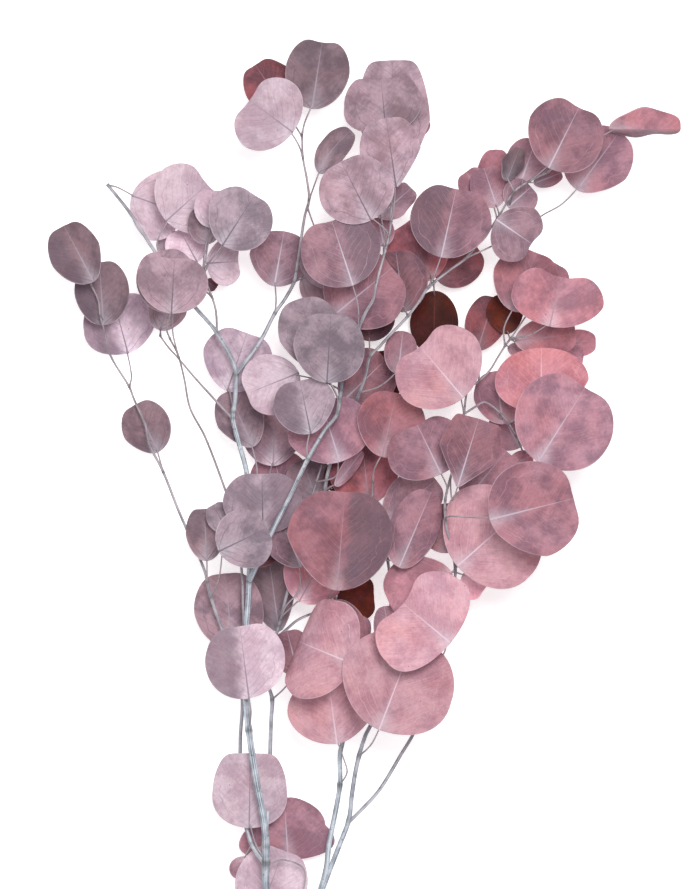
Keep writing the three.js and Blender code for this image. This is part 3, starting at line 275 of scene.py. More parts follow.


# Leaves by stem and piece: where the petiole leaves its stem, the blade's base and tip, its width and
# height, how far it pitches and rolls, and its dyed tone. Via lists the petiole's bends, at times with a
# height, and on names the leaf whose petiole a small leaf branches from.
# A line's dark names the half of the blade that gets painted shade.
LEAF_GROUPS = [
    ("far_left", "far_left_tip", (
        leaf((91, 285), (94, 282), (64, 226), 41, 49, -5, 14, "dusk", fold=-15, cup=-20, taper=0.25,
             dark="left", light=0.84),
        leaf((100, 316), (103, 325), (99, 262), 39, 28, 6, 10, "dusk", fold=8, taper=0.05, dark="left",
             light=0.8),
        leaf((129, 387), (127, 353), (112, 298), 56, 10, -5, 20, "lilac", via=[(131, 376)], fold=6,
             taper=0.0, skew=-0.25, rest=True, dark="left", light=1.25),
        leaf((163, 472), (158, 452), (134, 405), 35, 21, 12, 11, "dusk", fold=8),
    )),
    ("far_left", "far_left_leaf_1", (
        leaf((207, 582), (207, 561), (204, 509), 28, 35, -8, -1, "dusk", fold=-10),
    )),
    ("far_left", "far_left_leaf_2", (
        leaf((211, 597), (219, 551), (267, 528), 44, 63, -2, 12, "ash", via=[(219, 578)], fold=6,
             light=0.98),
    )),
    ("far_left", "far_left_leaf_3", (
        leaf((230, 648), (232, 650), (225, 574), 49, 21, 3, -1, "dusk", fold=-8, arch=20, taper=0.0,
             light=1.35),
    )),
    ("main", "main_leaf_1", (
        leaf((248, 730), (249, 698), (240, 626), 58, 56, 9, 13, "blush", via=[(251, 712)], fold=8,
             taper=0.0, skew=0.0, dark="left", light=1.06),
    )),
    ("main", "main_leaf_2", (
        leaf((266, 862), (249, 829), (250, 754), 53, 22, 2, 0, "blush", via=[(256, 846)], fold=-4, cup=-16,
             taper=-0.2, skew=0.0, blunt=0.5, light=0.85),
    )),
    ("right", "right_leaf_1", (
        leaf((301, 944), (288, 862), (284, 800), 56, 7, 5, -4, "rosy", via=[(311, 905, 5.5)], fold=6,
             taper=-0.8, skew=0.0, blunt=-0.8, light=1.08),
    )),
    ("main", "main_leaf_3", (
        leaf((266, 866), (256, 926), (283, 852), 51, 12, 7, -2, "blush",
             via=[(284, 861), (304, 871), (300, 900), (280, 926)], fold=-4, light=1.0),
    )),
    ("far_left", "far_left_leaf_4", (
        leaf((252, 845), (244, 858), (241, 881), 19, 8, 0, 0, "rosy"),
    )),
    ("main", "main_leaf_4", (
        leaf((249, 556), (263, 534), (262, 474), 56, 47, 12, 2, "ash", fold=8, taper=0.05, dark="right",
             light=1.18, name="main pair"),
        leaf((253, 547), (253, 566), (277, 536), 22, 28, -9, -11, "wine", on="main pair", light=0.9),
    )),
    ("main", "main_leaf_5", (
        leaf((249, 500), (253, 447), (228, 391), 34, 26, -3, 3, "dusk", via=[(257, 474)], fold=6),
    )),
    ("main", "main_leaf_6", (
        leaf((233, 412), (227, 391), (247, 333), 51, 28, 3, -10, "lilac", cup=8),
    )),
    ("main", "main_leaf_7", (
        leaf((250, 512), (273, 466), (274, 409), 44, 18, 8, 4, "dusk", via=[(263, 490)], light=1.7),
    )),
    ("main", "main_leaf_8", (
        leaf((108, 185), (131, 195), (179, 212), 52, 19, -12, -9, "blush", via=[(117, 187)], fold=6,
             light=0.9),
    )),
    ("main", "main_leaf_9", (
        leaf((163, 262), (166, 221), (207, 184), 57, 35, -6, 4, "blush", via=[(157, 243)], fold=5, cup=-8,
             light=0.85),
    )),
    ("crown_twig", "crown_twig", (
        leaf((203, 270), (223, 246), (255, 196), 48, 63, -1, -8, "ash", via=[(213, 258)], fold=6,
             light=1.0),
        leaf((203, 268), (211, 228), (213, 191), 25, 49, 5, 5, "blush", via=[(205, 250)]),
        leaf((204, 272), (209, 244), (202, 207), 24, 42, 11, -7, "dusk"),
        leaf((206, 282), (197, 262), (179, 229), 32, 23, -10, 6, "blush", light=1.2),
        leaf((212, 297), (180, 263), (166, 233), 21, 14, -4, -7, "ash", via=[(195, 280)]),
        leaf((204, 274), (206, 263), (238, 261), 34, 28, 2, 7, "blush", cup=-8, light=1.05),
        leaf((207, 284), (205, 280), (216, 287), 10, 7, 7, -6, "wine"),
    )),
    ("left_twig", "left_twig", (
        leaf((160, 336), (159, 330), (174, 290), 27, 21, 13, 8, "dusk", fold=8, light=1.4),
    )),
    ("left_spray", "left_spray", (
        leaf((170, 339), (172, 314), (175, 259), 50, 63, -7, -5, "heather", via=[(167, 329)], fold=7,
             light=0.93),
        leaf((178, 358), (174, 313), (161, 251), 43, 49, -2, 8, "heather", via=[(173, 333)]),
        leaf((236, 527), (229, 533), (213, 505), 19, 41, 4, -4, "ash", light=0.86),
    )),
    ("top_left", "top_left_leaf_1", (
        leaf((275, 313), (274, 286), (284, 231), 44, 29, 10, 9, "mauve", via=[(276, 300)], fold=10,
             light=0.78),
    )),
    ("top_left", "top_left_tip", (
        leaf((302, 135), (312, 109), (322, 42), 45, 35, -11, -3, "dusk", via=[(305, 122)], cup=8,
             taper=0.05, notch=0.09, light=0.79),
        leaf((302, 137), (292, 119), (255, 64), 37, 21, -5, 10, "brick", cup=18, wave=3.5),
        leaf((303, 158), (293, 133), (250, 101), 56, 56, 1, -2, "blush", via=[(299, 146)], fold=6,
             taper=0.0, light=0.78),
        leaf((309, 200), (316, 171), (349, 129), 32, 35, 6, -50, "dusk", arch=30),
    )),
    ("top_middle", "top_middle_leaf_1", (
        leaf((337, 413), (327, 383), (331, 315), 50, 77, 12, -2, "ash", via=[(337, 396)], fold=5,
             light=0.8),
    )),
    ("top_middle", "top_middle_leaf_2", (
        leaf((338, 400), (322, 370), (300, 299), 46, 56, -8, 12, "ash", cup=10, light=0.86),
    )),
    ("top_middle", "top_middle_leaf_3", (
        leaf((308, 459), (311, 434), (300, 381), 45, 63, -3, -1, "ash", via=[(307, 448)], fold=14,
             wave=1.5, dark="left", light=1.05),
    )),
    ("top_middle", "top_middle_leaf_4", (
        leaf((341, 390), (299, 373), (247, 394), 45, 49, 3, 13, "blush", via=[(322, 381)], light=0.86),
    )),
    ("top_middle", "top_middle_leaf_5", (
        leaf((358, 330), (353, 286), (332, 222), 58, 69, 9, 0, "mauve", via=[(358, 307)], fold=-12,
             taper=0.0, dark="right", light=0.86),
    )),
    ("top_left", "top_left_leaf_2", (
        leaf((294, 282), (301, 276), (336, 292), 32, 20, -12, -13, "dusk", light=1.2),
    )),
    ("top_left", "top_left_tip", (
        leaf((307, 207), (314, 227), (340, 284), 41, 32, -6, 1, "heather"),
    )),
    ("top_middle", "top_middle_leaf_6", (
        leaf((345, 368), (333, 316), (392, 268), 59, 42, 0, -12, "rosy", via=[(333, 345)], fold=-6,
             light=0.86),
    )),
    ("top_middle", "top_middle_tip", (
        leaf((388, 238), (371, 221), (341, 163), 52, 71, 5, 2, "heather", via=[(386, 231)], fold=6,
             taper=-0.05, light=1.08),
        leaf((391, 222), (396, 188), (386, 119), 44, 61, -3, 4, "heather", via=[(394, 205)], fold=-14,
             taper=0.42, skew=-0.22, light=1.12),
        leaf((391, 140), (386, 133), (381, 79), 56, 42, -9, 2, "heather", fold=-8, cup=-12, taper=-0.1,
             blunt=0.3, light=0.84),
        leaf((391, 205), (396, 186), (392, 60), 51, 32, 2, 0, "heather", cup=-12, taper=0.6, skew=0.0,
             blunt=0.5, light=1.06),
        leaf((391, 140), (402, 132), (428, 118), 18, 21, 2, 3, "rosy", wave=1),
        leaf((386, 246), (378, 217), (411, 188), 25, 42, 8, 35, "mauve", wave=1),
        leaf((384, 254), (384, 246), (378, 217), 19, 28, -13, 4, "rosy"),
    )),
    ("centre", "centre_leaf_1", (
        leaf((279, 626), (279, 632), (268, 553), 33, 14, -7, -9, "dusk", fold=10, light=0.74),
    )),
    ("centre", "centre_leaf_2", (
        leaf((280, 620), (301, 567), (284, 528), 33, 40, -1, 5, "mauve",
             via=[(286, 606, 36), (299, 590, 39.5)], fold=8, light=0.72),
    )),
    ("centre", "centre_leaf_3", (
        leaf((281, 617), (299, 602), (322, 560), 43, 34, 4, -8, "rose", light=1.6),
    )),
    ("centre", "centre_leaf_4", (
        leaf((272, 700), (298, 675), (287, 631), 28, 32, 10, 6, "rosy", via=[(284, 689)], light=0.65),
    )),
    ("centre", "centre_tip", (
        leaf((300, 544), (291, 525), (273, 455), 46, 11, -10, -7, "rosy", light=0.9),
        leaf((312, 494), (317, 501), (302, 460), 34, 15, -5, 7, "dusk", light=1.05),
        leaf((316, 482), (340, 462), (322, 404), 60, 46, 1, -6, "rosy", via=[(336, 476)], fold=12,
             light=1.18),
    )),
    ("centre_fork", "centre_fork", (
        leaf((324, 604), (337, 590), (345, 492), 76, 76, 7, 7, "rose", via=[(331, 595, 44)], fold=-12,
             taper=0.2, skew=0.12, blunt=0.0, dark="right", light=0.77),
        leaf((320, 611), (334, 600), (352, 650), 31, 42, 12, -5, "rose", light=0.7),
        leaf((325, 610), (337, 600), (374, 597), 34, 18, -8, 8, "maroon", light=2.0),
    )),
    ("right", "right_leaf_2", (
        leaf((360, 757), (379, 729), (413, 640), 81, 65, -2, -4, "pink", via=[(372, 743)], fold=6,
             taper=0.0, skew=0.15, light=0.76),
    )),
    ("right", "right_tip", (
        leaf((375, 508), (369, 505), (362, 440), 51, 26, 0, -3, "brick", fold=4, light=1.25),
        leaf((380, 528), (386, 522), (436, 480), 37, 38, 9, -4, "mauve", light=1.0),
        leaf((388, 560), (399, 567), (431, 492), 38, 60, -11, 10, "rosy", fold=-22, light=0.88),
        leaf((390, 585), (414, 557), (434, 507), 21, 35, -6, -3, "mauve"),
        leaf((373, 482), (382, 457), (396, 393), 51, 52, 0, 11, "rose", via=[(374, 470)], fold=8, cup=12,
             light=0.83),
    )),
    ("middle", "middle_leaf_1", (
        leaf((340, 786), (337, 744), (329, 684), 64, 42, 6, -2, "pink", via=[(347, 773), (344, 760)],
             fold=-8, taper=0.18, light=0.84),
    )),
    ("middle", "middle_leaf_2", (
        leaf((345, 678), (345, 660), (291, 638), 73, 58, -35, 0, "pink", via=[(351, 668)], arch=95,
             taper=-0.1, skew=0.14, notch=0.03, blunt=0.5, light=0.82),
    )),
    ("middle", "middle_leaf_3", (
        leaf((343, 655), (348, 652), (364, 617), 19, 20, -9, -1, "rosy"),
    )),
    ("middle", "middle_leaf_4", (
        leaf((326, 490), (335, 486), (362, 451), 18, 38, -3, 55, "rosy", light=1.3, name="upright pair"),
        leaf((331, 488), (331, 491), (345, 461), 20, 21, 2, 0, "maroon", on="upright pair"),
    )),
    ("middle", "middle_leaf_5", (
        leaf((370, 357), (369, 341), (372, 298), 35, 23, 8, -13, "wine"),
    )),
    ("middle", "middle_leaf_6", (
        leaf((357, 400), (342, 402), (386, 359), 43, 21, -12, 1, "rosy", fold=6, light=0.74,
             name="low pair"),
        leaf((349, 402), (353, 398), (400, 361), 36, 9, -6, -12, "maroon", on="low pair"),
    )),
    ("middle", "middle_leaf_7", (
        leaf((361, 393), (398, 374), (403, 331), 23, 35, -1, 1, "rosy", via=[(380, 386)], light=0.8),
    )),
    ("middle", "middle_leaf_8", (
        leaf((408, 316), (404, 312), (396, 251), 40, 33, 5, -11, "rosy", light=0.58),
    )),
    ("middle", "middle_tip", (
        leaf((434, 284), (435, 290), (434, 350), 34, 7, 11, 2, "maroon", light=1.0),
        leaf((435, 283), (433, 279), (401, 226), 46, 21, -10, -10, "brick", cup=8, light=1.6),
        leaf((432, 285), (437, 279), (480, 250), 31, 14, -4, 3, "brick", light=0.92),
        leaf((428, 288), (441, 258), (456, 190), 59, 63, 2, -10, "rosy", via=[(435, 273)], fold=-12,
             taper=0.1, notch=0.08, dark="left", light=0.78),
        leaf((487, 232), (486, 200), (466, 172), 23, 30, 7, 4, "rosy"),
        leaf((497, 219), (490, 196), (496, 149), 27, 21, 13, 35, "rose"),
        leaf((499, 215), (497, 207), (484, 168), 28, 36, -7, 5, "rosy"),
        leaf((498, 219), (496, 220), (531, 244), 43, 57, -2, -8, "mauve", cup=8, light=0.74),
        leaf((512, 195), (508, 207), (531, 187), 26, 39, 4, 5, "mauve", light=0.88),
        leaf((514, 192), (506, 181), (519, 148), 26, 51, 10, 55, "dusk", wave=1, light=0.74),
        leaf((508, 203), (507, 198), (517, 178), 13, 11, -11, 6, "maroon"),
        leaf((521, 186), (521, 182), (536, 140), 31, 35, -5, -6, "rosy", fold=8, light=0.87),
        leaf((527, 182), (534, 183), (562, 172), 13, 21, 1, 7, "rosy"),
        leaf((530, 181), (548, 169), (578, 109), 55, 70, 6, -6, "rosy", fold=6, taper=0.05, skew=0.1,
             notch=0.1, light=0.74),
        leaf((466, 258), (577, 190), (619, 132), 46, 44, 12, 8, "rosy",
             via=[(484, 250), (515, 234), (543, 215), (562, 204)], fold=8, skew=-0.2),
        leaf((547, 173), (608, 130), (680, 130), 29, 61, -8, 38, "rose", via=[(575, 152)], fold=-34,
             wave=2, dark="right"),
    )),
    ("far_right", "far_right_leaf_1", (
        leaf((421, 692), (450, 642), (403, 603), 77, 77, -3, 9, "pink", via=[(425, 673), (443, 654, 58)],
             fold=-5, taper=-0.2, skew=0.0, light=0.95),
    )),
    ("far_right", "far_right_leaf_2", (
        leaf((416, 728), (395, 658), (384, 606), 21, 49, 3, -4, "mauve", via=[(425, 716), (418, 690)]),
    )),
    ("far_right", "far_right_leaf_3", (
        leaf((455, 570), (452, 573), (389, 602), 49, 56, 9, 10, "rose", light=1.1),
    )),
    ("far_right", "far_right_leaf_4", (
        leaf((455, 572), (463, 574), (484, 590), 25, 35, -12, -3, "pink", light=1.6),
    )),
    ("far_right", "far_right_leaf_5", (
        leaf((455, 568), (457, 566), (518, 512), 78, 58, 0, 0, "pink", fold=-6, taper=0.0, light=0.85),
    )),
    ("far_right", "far_right_leaf_6", (
        leaf((452, 553), (447, 553), (440, 504), 34, 46, 0, -2, "rose", light=0.6),
    )),
    ("far_right", "far_right_leaf_7", (
        leaf((444, 520), (489, 519), (572, 498), 69, 91, 5, 11, "rosy",
             via=[(446, 517, 65), (453, 516, 72), (470, 517, 79)], fold=6, taper=0.1, light=1.02),
    )),
    ("far_right", "far_right_leaf_8", (
        leaf((445, 510), (466, 500), (506, 451), 40, 49, 11, -1, "rosy",
             via=[(446, 507, 50), (453, 503, 50)], fold=6),
    )),
    ("far_right", "far_right_leaf_9", (
        leaf((445, 500), (441, 474), (417, 425), 59, 61, -9, 12, "rosy", via=[(447, 488)], fold=-14,
             taper=0.0, light=0.88),
    )),
    ("far_right", "far_right_leaf_10", (
        leaf((450, 480), (457, 487), (478, 419), 45, 84, -4, -1, "rosy", via=[(452, 500)], fold=-20,
             taper=0.75, skew=0.0, blunt=0.7, light=0.7),
    )),
    ("far_right", "far_right_leaf_11", (
        leaf((464, 413), (463, 398), (420, 347), 68, 63, 2, 13, "pink", fold=6, taper=0.05, notch=0.15,
             light=0.8),
    )),
    ("far_right", "far_right_tip", (
        leaf((479, 381), (478, 350), (494, 297), 29, 19, 8, 0, "brick", light=0.92),
        leaf((505, 346), (512, 311), (537, 253), 47, 42, -13, -12, "rose", via=[(504, 328)], fold=6,
             light=0.8),
        leaf((510, 340), (533, 306), (557, 264), 32, 35, -7, 1, "rose", via=[(520, 325)]),
        leaf((511, 338), (549, 327), (560, 278), 67, 70, -1, -12, "rose", via=[(530, 335)], fold=-10,
             light=1.15),
        leaf((510, 339), (508, 334), (503, 294), 26, 23, 4, 2, "maroon", light=1.8),
        leaf((511, 338), (515, 341), (575, 334), 30, 42, 10, -11, "rose", light=0.92),
        leaf((506, 345), (508, 347), (530, 352), 12, 21, -10, 3, "rose"),
        leaf((511, 338), (558, 343), (597, 342), 19, 3, -7, 5, "rose", via=[(535, 344)], wave=1, rest=True,
             light=1.3),
        leaf((511, 339), (550, 352), (584, 358), 18, 14, 1, 4, "rosy", via=[(530, 352)], wave=1.5,
             light=1.35),
    )),
    ("right_spray", "right_spray", (
        leaf((500, 413), (503, 424), (496, 371), 36, 35, 7, -9, "rosy"),
        leaf((516, 436), (520, 448), (501, 412), 32, 21, 12, 4, "rosy"),
        leaf((508, 423), (541, 412), (541, 348), 66, 56, -8, -8, "salmon", cup=-8, taper=0.1, notch=0.0,
             blunt=0.1, light=0.84),
        leaf((523, 452), (537, 462), (584, 388), 71, 77, -2, 5, "rosy", cup=8, taper=0.0, light=1.15),
        leaf((523, 452), (508, 470), (531, 455), 15, 42, 3, -7, "rosy", light=1.5),
    )),
]

LEAVES = [
    dict(readings, stem=stem, node=node) for stem, node, leaves in LEAF_GROUPS for readings in leaves]


def linear(code):
    """An sRGB hex colour as linear red, green and blue."""
    parts = [int(code[i:i + 2], 16) / 255 for i in (1, 3, 5)]
    return tuple(c / 12.92 if c <= 0.04045 else ((c + 0.055) / 1.055) ** 2.4 for c in parts)


def tone_property(tone, role, index):
    """The property for one of a tone's four colours."""
    return bpy.props.FloatVectorProperty(
        name=f"{tone.capitalize()} {role}", description=f"Colour of the {role} of the {tone} leaves",
        subtype="COLOR", size=3, min=0, max=1, default=linear(TONES[tone][index]))


class LeafColours(bpy.types.PropertyGroup):
    """Dye colours of the leaves."""
    __annotations__ = {
        f"{tone}_{role}": tone_property(tone, role, index)
        for tone in TONES for index, role in enumerate(("dye", "cloud", "midrib", "veins"))}


class BarkColours(bpy.types.PropertyGroup):
    """Colours of the stems."""
    # Bloom is the real blue-white wax and also a painted highlight, as light as the stems' lit side; bark
    # is bare bark and also painted shade, as dark as their shaded edges
    bloom_and_highlight: bpy.props.FloatVectorProperty(
        name="Bloom", description="Blue-white wax on the bark",
        subtype="COLOR", size=3, default=linear("#cbd2da"))
    bark: bpy.props.FloatVectorProperty(
        name="Bark", description="Bark under the wax", subtype="COLOR", size=3, default=linear("#727883"))
    scar: bpy.props.FloatVectorProperty(
        name="Scar", description="Marks of fallen leaves",
        subtype="COLOR", size=3, default=linear("#4a3f3f"))
    # The twig colour and the browner one after it are the shoots' own colour and also painted highlight
    # and painted shade, as light as their lit side and as dark as their shaded side
    twig: bpy.props.FloatVectorProperty(
        name="Twig", description="Thin shoots and petioles",
        subtype="COLOR", size=3, default=linear("#b3a7ae"))
    twig_brown_and_shaded: bpy.props.FloatVectorProperty(
        name="Twig shade", description="Browner stretches of the shoots", subtype="COLOR", size=3,
        default=linear("#786c72"))
    cut: bpy.props.FloatVectorProperty(
        name="Cut wood", description="Wood at the cut end",
        subtype="COLOR", size=3, default=linear("#c9b08c"))


class BranchSizes(bpy.types.PropertyGroup):
    """Sizes of the branch's finer forms."""
    blade: bpy.props.FloatProperty(
        name="Blade", description="Thickness of a leaf", unit="LENGTH", default=0.5 * MM, min=0.2 * MM)
    rim: bpy.props.FloatProperty(
        name="Rim", description="How far a leaf's rounded edge stands out",
        unit="LENGTH", default=0.15 * MM)
    midrib: bpy.props.FloatProperty(
        name="Midrib", description="Height of the midrib over the blade",
        unit="LENGTH", default=0.22 * MM)
    ripple: bpy.props.FloatProperty(
        name="Ripple", description="Height of the ripples at a leaf's edge",
        unit="LENGTH", default=0.45 * MM)
    petiole: bpy.props.FloatProperty(
        name="Petiole", description="Radius of a petiole", unit="LENGTH", default=0.62 * MM)
    swelling: bpy.props.FloatProperty(
        name="Swelling", description="How much a stem thickens at a leaf", default=0.22, min=0, max=1)
    rows: bpy.props.IntProperty(
        name="Rows", description="Rows of faces from a leaf's base to its tip", default=26, min=8, max=60)
    sides: bpy.props.IntProperty(
        name="Sides", description="Faces round a stem", default=12, min=6, max=32)


class StageSizes(bpy.types.PropertyGroup):
    """Floor, light and camera."""
    floor: bpy.props.FloatProperty(
        name="Floor", description="Side of the floor", unit="LENGTH", default=6.0, min=1)
    paper: bpy.props.FloatVectorProperty(
        name="Paper", description="Colour of the floor",
        subtype="COLOR", size=3, default=linear("#f6f5f4"))
    distance: bpy.props.FloatProperty(
        name="Distance", description="Height of the camera over the branch",
        unit="LENGTH", default=8.0, min=1)
    level: bpy.props.FloatProperty(
        name="Level", description="Height at which the picture's scale holds",
        unit="LENGTH", default=0.04)


def draws(number, count):
    """A repeatable series of draws between 0 and 1 for one leaf."""
    series = []
    state = FIRST_SEED + SEED_STEP * number
    for _ in range(count + SKIPPED_DRAWS):
        state = state * DRAW_FACTOR % DRAW_RANGE
        series.append(state / DRAW_RANGE)
    return series[SKIPPED_DRAWS:]


def place(pixel, height=0.0):
    """A pixel of the photograph and a height in mm as a point in mm."""
    x, y = pixel[0], pixel[1]
    return np.array([(x - ORIGIN_PIXEL[0]) * MM_PER_PIXEL, (ORIGIN_PIXEL[1] - y) * MM_PER_PIXEL, height])


class Blade:
    """A leaf's surface in mm: any point from its way along the midrib and out to one side."""

    def __init__(self, facts, number):
        (notch_draw, phase_draw, taper_draw, side_draw, blunt_draw,
         self.chance, self.ripple_phase, self.edge_phase) = draws(number, 8)
        self.light = facts.get("light", LIGHT_LEAST + LIGHT_MORE * self.chance)
        # dark: which half of the blade gets painted shade
        self.dark = {"left": 1, "right": -1}.get(facts.get("dark"), 0)
        self.phase = 2 * math.pi * phase_draw
        self.taper = facts.get("taper", TAPER_LEAST + TAPER_MORE * taper_draw)
        self.skew = facts.get("skew", TAPER_DIFFERENCE * (2 * side_draw - 1))
        self.blunt = facts.get("blunt", BLUNTNESS * blunt_draw)
        pitch, roll = math.radians(facts["pitch"]), math.radians(facts["roll"])
        self.fold = math.radians(facts.get("fold", 0))
        self.wave = facts.get("wave", 0)
        arch = math.radians(facts.get("arch", 0)) or ALMOST_FLAT
        self.half = facts["width"] / 2
        self.curl = (math.radians(facts.get("cup", 0)) or ALMOST_FLAT) / self.half
        base, tip = place(facts["base"]), place(facts["tip"])
        self.middle = (base + tip) / 2
        chord = np.linalg.norm(tip - base) / math.cos(pitch)
        forward = (tip - base) / np.linalg.norm(tip - base)
        left = np.array([-forward[1], forward[0], 0])
        up = np.array([0, 0, 1.0])
        self.along = forward * math.cos(pitch) + up * math.sin(pitch)
        level = up * math.cos(pitch) - forward * math.sin(pitch)
        self.across = left * math.cos(roll) + level * math.sin(roll)
        self.out = level * math.cos(roll) - left * math.sin(roll)
        bow = abs(arch) / 2
        self.length = chord * bow / math.sin(bow)
        self.bend = arch / self.length
        broad = max(0, facts["width"] / self.length - BROAD_FROM)
        notch = NOTCH_LEAST + NOTCH_MORE * notch_draw + NOTCH_OF_BROAD_LEAF * broad
        self.notch = facts.get("notch", notch)
        self.height = facts["height"]
        if facts.get("rest"):
            size = max(self.length, facts["width"])
            rows = next(count for limit, count in ROWS_BY_SIZE if size < limit)
            turns = np.linspace(0, math.pi, rows + 1)
            margins = [self.point(turns, side, 1, -CAD_BLADE_THICKNESS / 2)[:, 2] for side in (1, -1)]
            self.height -= min(margin.min() for margin in margins)

    def edge(self, turn, side):
        """Way along the midrib straight and at the margin, and the half width, for a turn from 0 to pi."""
        straight = self.length * (0.5 - 0.5 * np.cos(turn))
        dent = np.exp(-(((math.pi - turn) / NOTCH_REACH) ** 2))
        outer = straight * (1 + self.notch) - self.notch * self.length * dent
        near_base = np.maximum(0, np.cos(turn))
        near_tip = np.maximum(0, -np.cos(turn))
        round_ = np.maximum(0, np.sin(turn)) ** (1 - self.blunt * near_tip)
        return straight, outer, self.half * round_ * (1 - (self.taper + side * self.skew) * near_base)

    def point(self, turn, side, fraction, lift=0.0, ripple=0.0):
        """The point of the blade, in mm."""
        given = (np.asarray(value, float) for value in (turn, side, fraction))
        turn, side, fraction = np.broadcast_arrays(*given)
        straight, outer, reach = self.edge(turn, side)
        run = straight + (outer - straight) * fraction ** 2
        away = reach * fraction
        bent = self.fold + self.curl * away
        sideways = (np.sin(bent) - math.sin(self.fold)) / self.curl
        rise = (math.cos(self.fold) - np.cos(bent)) / self.curl
        out_share = (away / self.half) ** 2
        turns = 2 * math.pi * run / self.length
        rise = rise + self.wave * out_share * np.sin(WAVES_PER_EDGE * turns + self.phase + side) + lift
        if ripple:
            for (share, pace, offset), phase in zip(RIPPLES, (self.ripple_phase, self.edge_phase)):
                rise = rise + ripple * out_share * share * np.sin(
                    pace * turns + RIPPLE_TURN * phase + offset * side)
        from_middle = run - self.length / 2
        lean = self.bend * from_middle
        forward_by = np.sin(lean) / self.bend + rise * np.sin(lean)
        out_by = rise * np.cos(lean) - (1 - np.cos(lean)) / self.bend
        spot = (self.middle + forward_by[..., None] * self.along
                + (side * sideways)[..., None] * self.across + out_by[..., None] * self.out)
        spot[..., 2] += self.height
        return spot


# How far out towards the margin each column of points lies
COLUMNS = (1, 0.985, 0.93, 0.84, 0.73, 0.61, 0.49, 0.37, 0.26, 0.15, 0.07, 0.025)


def blade_mesh(blade, sizes):
    """Points, faces and the leaf's own coordinates for a blade with rounded edges and a raised midrib."""
    thick = sizes.blade / MM
    rim = sizes.rim / MM
    rows = sizes.rows
    ripple = sizes.ripple / MM * min(1, blade.half / FULL_RIPPLE_HALF_WIDTH)
    turns = np.linspace(0, math.pi, rows + 1)[1:-1, None]
    fractions = np.array(COLUMNS + (0,) + COLUMNS[::-1])[None, :]
    sides = np.array([1] * len(COLUMNS) + [1] + [-1] * len(COLUMNS))[None, :]
    wide = fractions.shape[1]
    straight, outer, reach = blade.edge(turns, sides)
    away = reach * fractions
    run = straight + (outer - straight) * fractions ** 2
    fade = 1 - MIDRIB_FADE * run / blade.length
    ridge = sizes.midrib / MM * np.exp(-((away / MIDRIB_WIDTH) ** 2)) * fade
    points, spots, sheets = [], [], []

    def put(xyz, run_, away_, fraction_, reach_, face_):
        points.append(xyz.reshape(-1, 3))
        flat = [np.broadcast_to(v, xyz.shape[:-1]).reshape(-1) for v in (run_, away_, fraction_)]
        spots.append(np.stack(flat, 1))
        more = [np.broadcast_to(v, xyz.shape[:-1]).reshape(-1) for v in (reach_, face_)]
        sheets.append(np.stack(more, 1))

    for face, sign in ((1, 1), (0, -1)):
        lift = sign * (thick / 2 * (1 - EDGE_THINNING * fractions ** 6) + ridge)
        put(blade.point(turns, sides, fractions, lift, ripple), run, sides * away, fractions, reach, face)
        for turn in (0.0, math.pi):
            tip = blade.point(np.array([turn]), 1, 0, sign * thick / 2, ripple)
            put(tip, blade.length * (turn > 0), 0, 0, 0, face)
    edges = []
    for side in (1, -1):
        _, _, reach_ = blade.edge(turns[:, 0], side)
        out = 1 + rim / np.maximum(reach_, 1)
        rim_points = blade.point(turns[:, 0], side, out, 0, ripple)
        edges.append(sum(len(p) for p in points))
        put(rim_points, straight[:, 0], side * reach_, 1, reach_, 1)
    ends = sum(len(p) for p in points)
    for turn, step in ((0.0, -rim), (math.pi, rim)):
        spot = blade.point(np.array([turn]), 1, 0, 0, ripple) + step * blade.along
        put(spot, blade.length * (turn > 0), 0, 1, 0, 1)
    sheet = (rows - 1) * wide + 2
    faces = []
    for start, flip in ((0, False), (sheet, True)):
        base, tip = start + (rows - 1) * wide, start + (rows - 1) * wide + 1
        ring = [[start + r * wide + c for c in range(wide)] for r in range(rows - 1)]
        made = []
        for c in range(wide - 1):
            made.append((base, ring[0][c + 1], ring[0][c]))
            made.append((tip, ring[-1][c], ring[-1][c + 1]))
            for r in range(rows - 2):
                made.append((ring[r][c], ring[r][c + 1], ring[r + 1][c + 1], ring[r + 1][c]))
        faces += [face[::-1] for face in made] if flip else made
    around_top, around_rim, around_low = [], [], []
    top_base, low_base = (rows - 1) * wide, sheet + (rows - 1) * wide
    around_top.append(top_base)
    around_low.append(low_base)
    around_rim.append(ends)
    for r in range(rows - 1):
        around_top.append(r * wide + wide - 1)
        around_low.append(sheet + r * wide + wide - 1)
        around_rim.append(edges[1] + r)
    around_top.append(top_base + 1)
    around_low.append(low_base + 1)
    around_rim.append(ends + 1)
    for r in reversed(range(rows - 1)):
        around_top.append(r * wide)
        around_low.append(sheet + r * wide)
        around_rim.append(edges[0] + r)
    count = len(around_top)
    for i in range(count):
        j = (i + 1) % count
        faces.append((around_rim[i], around_rim[j], around_top[j], around_top[i]))
        faces.append((around_low[i], around_low[j], around_rim[j], around_rim[i]))
    return np.concatenate(points), faces, np.concatenate(spots), np.concatenate(sheets)


def smooth_path(points, step=STEM_STEP):
    """A curve through points in mm, with even small steps and soft bends."""
    points = [np.asarray(p, float) for p in points]
    path = []
    for i in range(len(points) - 1):
        p1, p2 = points[i], points[i + 1]
        p0 = points[i - 1] if i > 0 else 2 * p1 - p2
        p3 = points[i + 2] if i + 2 < len(points) else 2 * p2 - p1
        span = np.linalg.norm(p2 - p1)
        before = (p2 - p0) / max(np.linalg.norm(p1 - p0) + span, 1e-6) * span
        after = (p3 - p1) / max(np.linalg.norm(p3 - p2) + span, 1e-6) * span
        steps = max(2, round(span / step))
        for k in range(steps):
            t = k / steps
            path.append((2 * t ** 3 - 3 * t ** 2 + 1) * p1 + (t ** 3 - 2 * t ** 2 + t) * before
                        + (3 * t ** 2 - 2 * t ** 3) * p2 + (t ** 3 - t ** 2) * after)
    path.append(points[-1])
    return np.array(path)


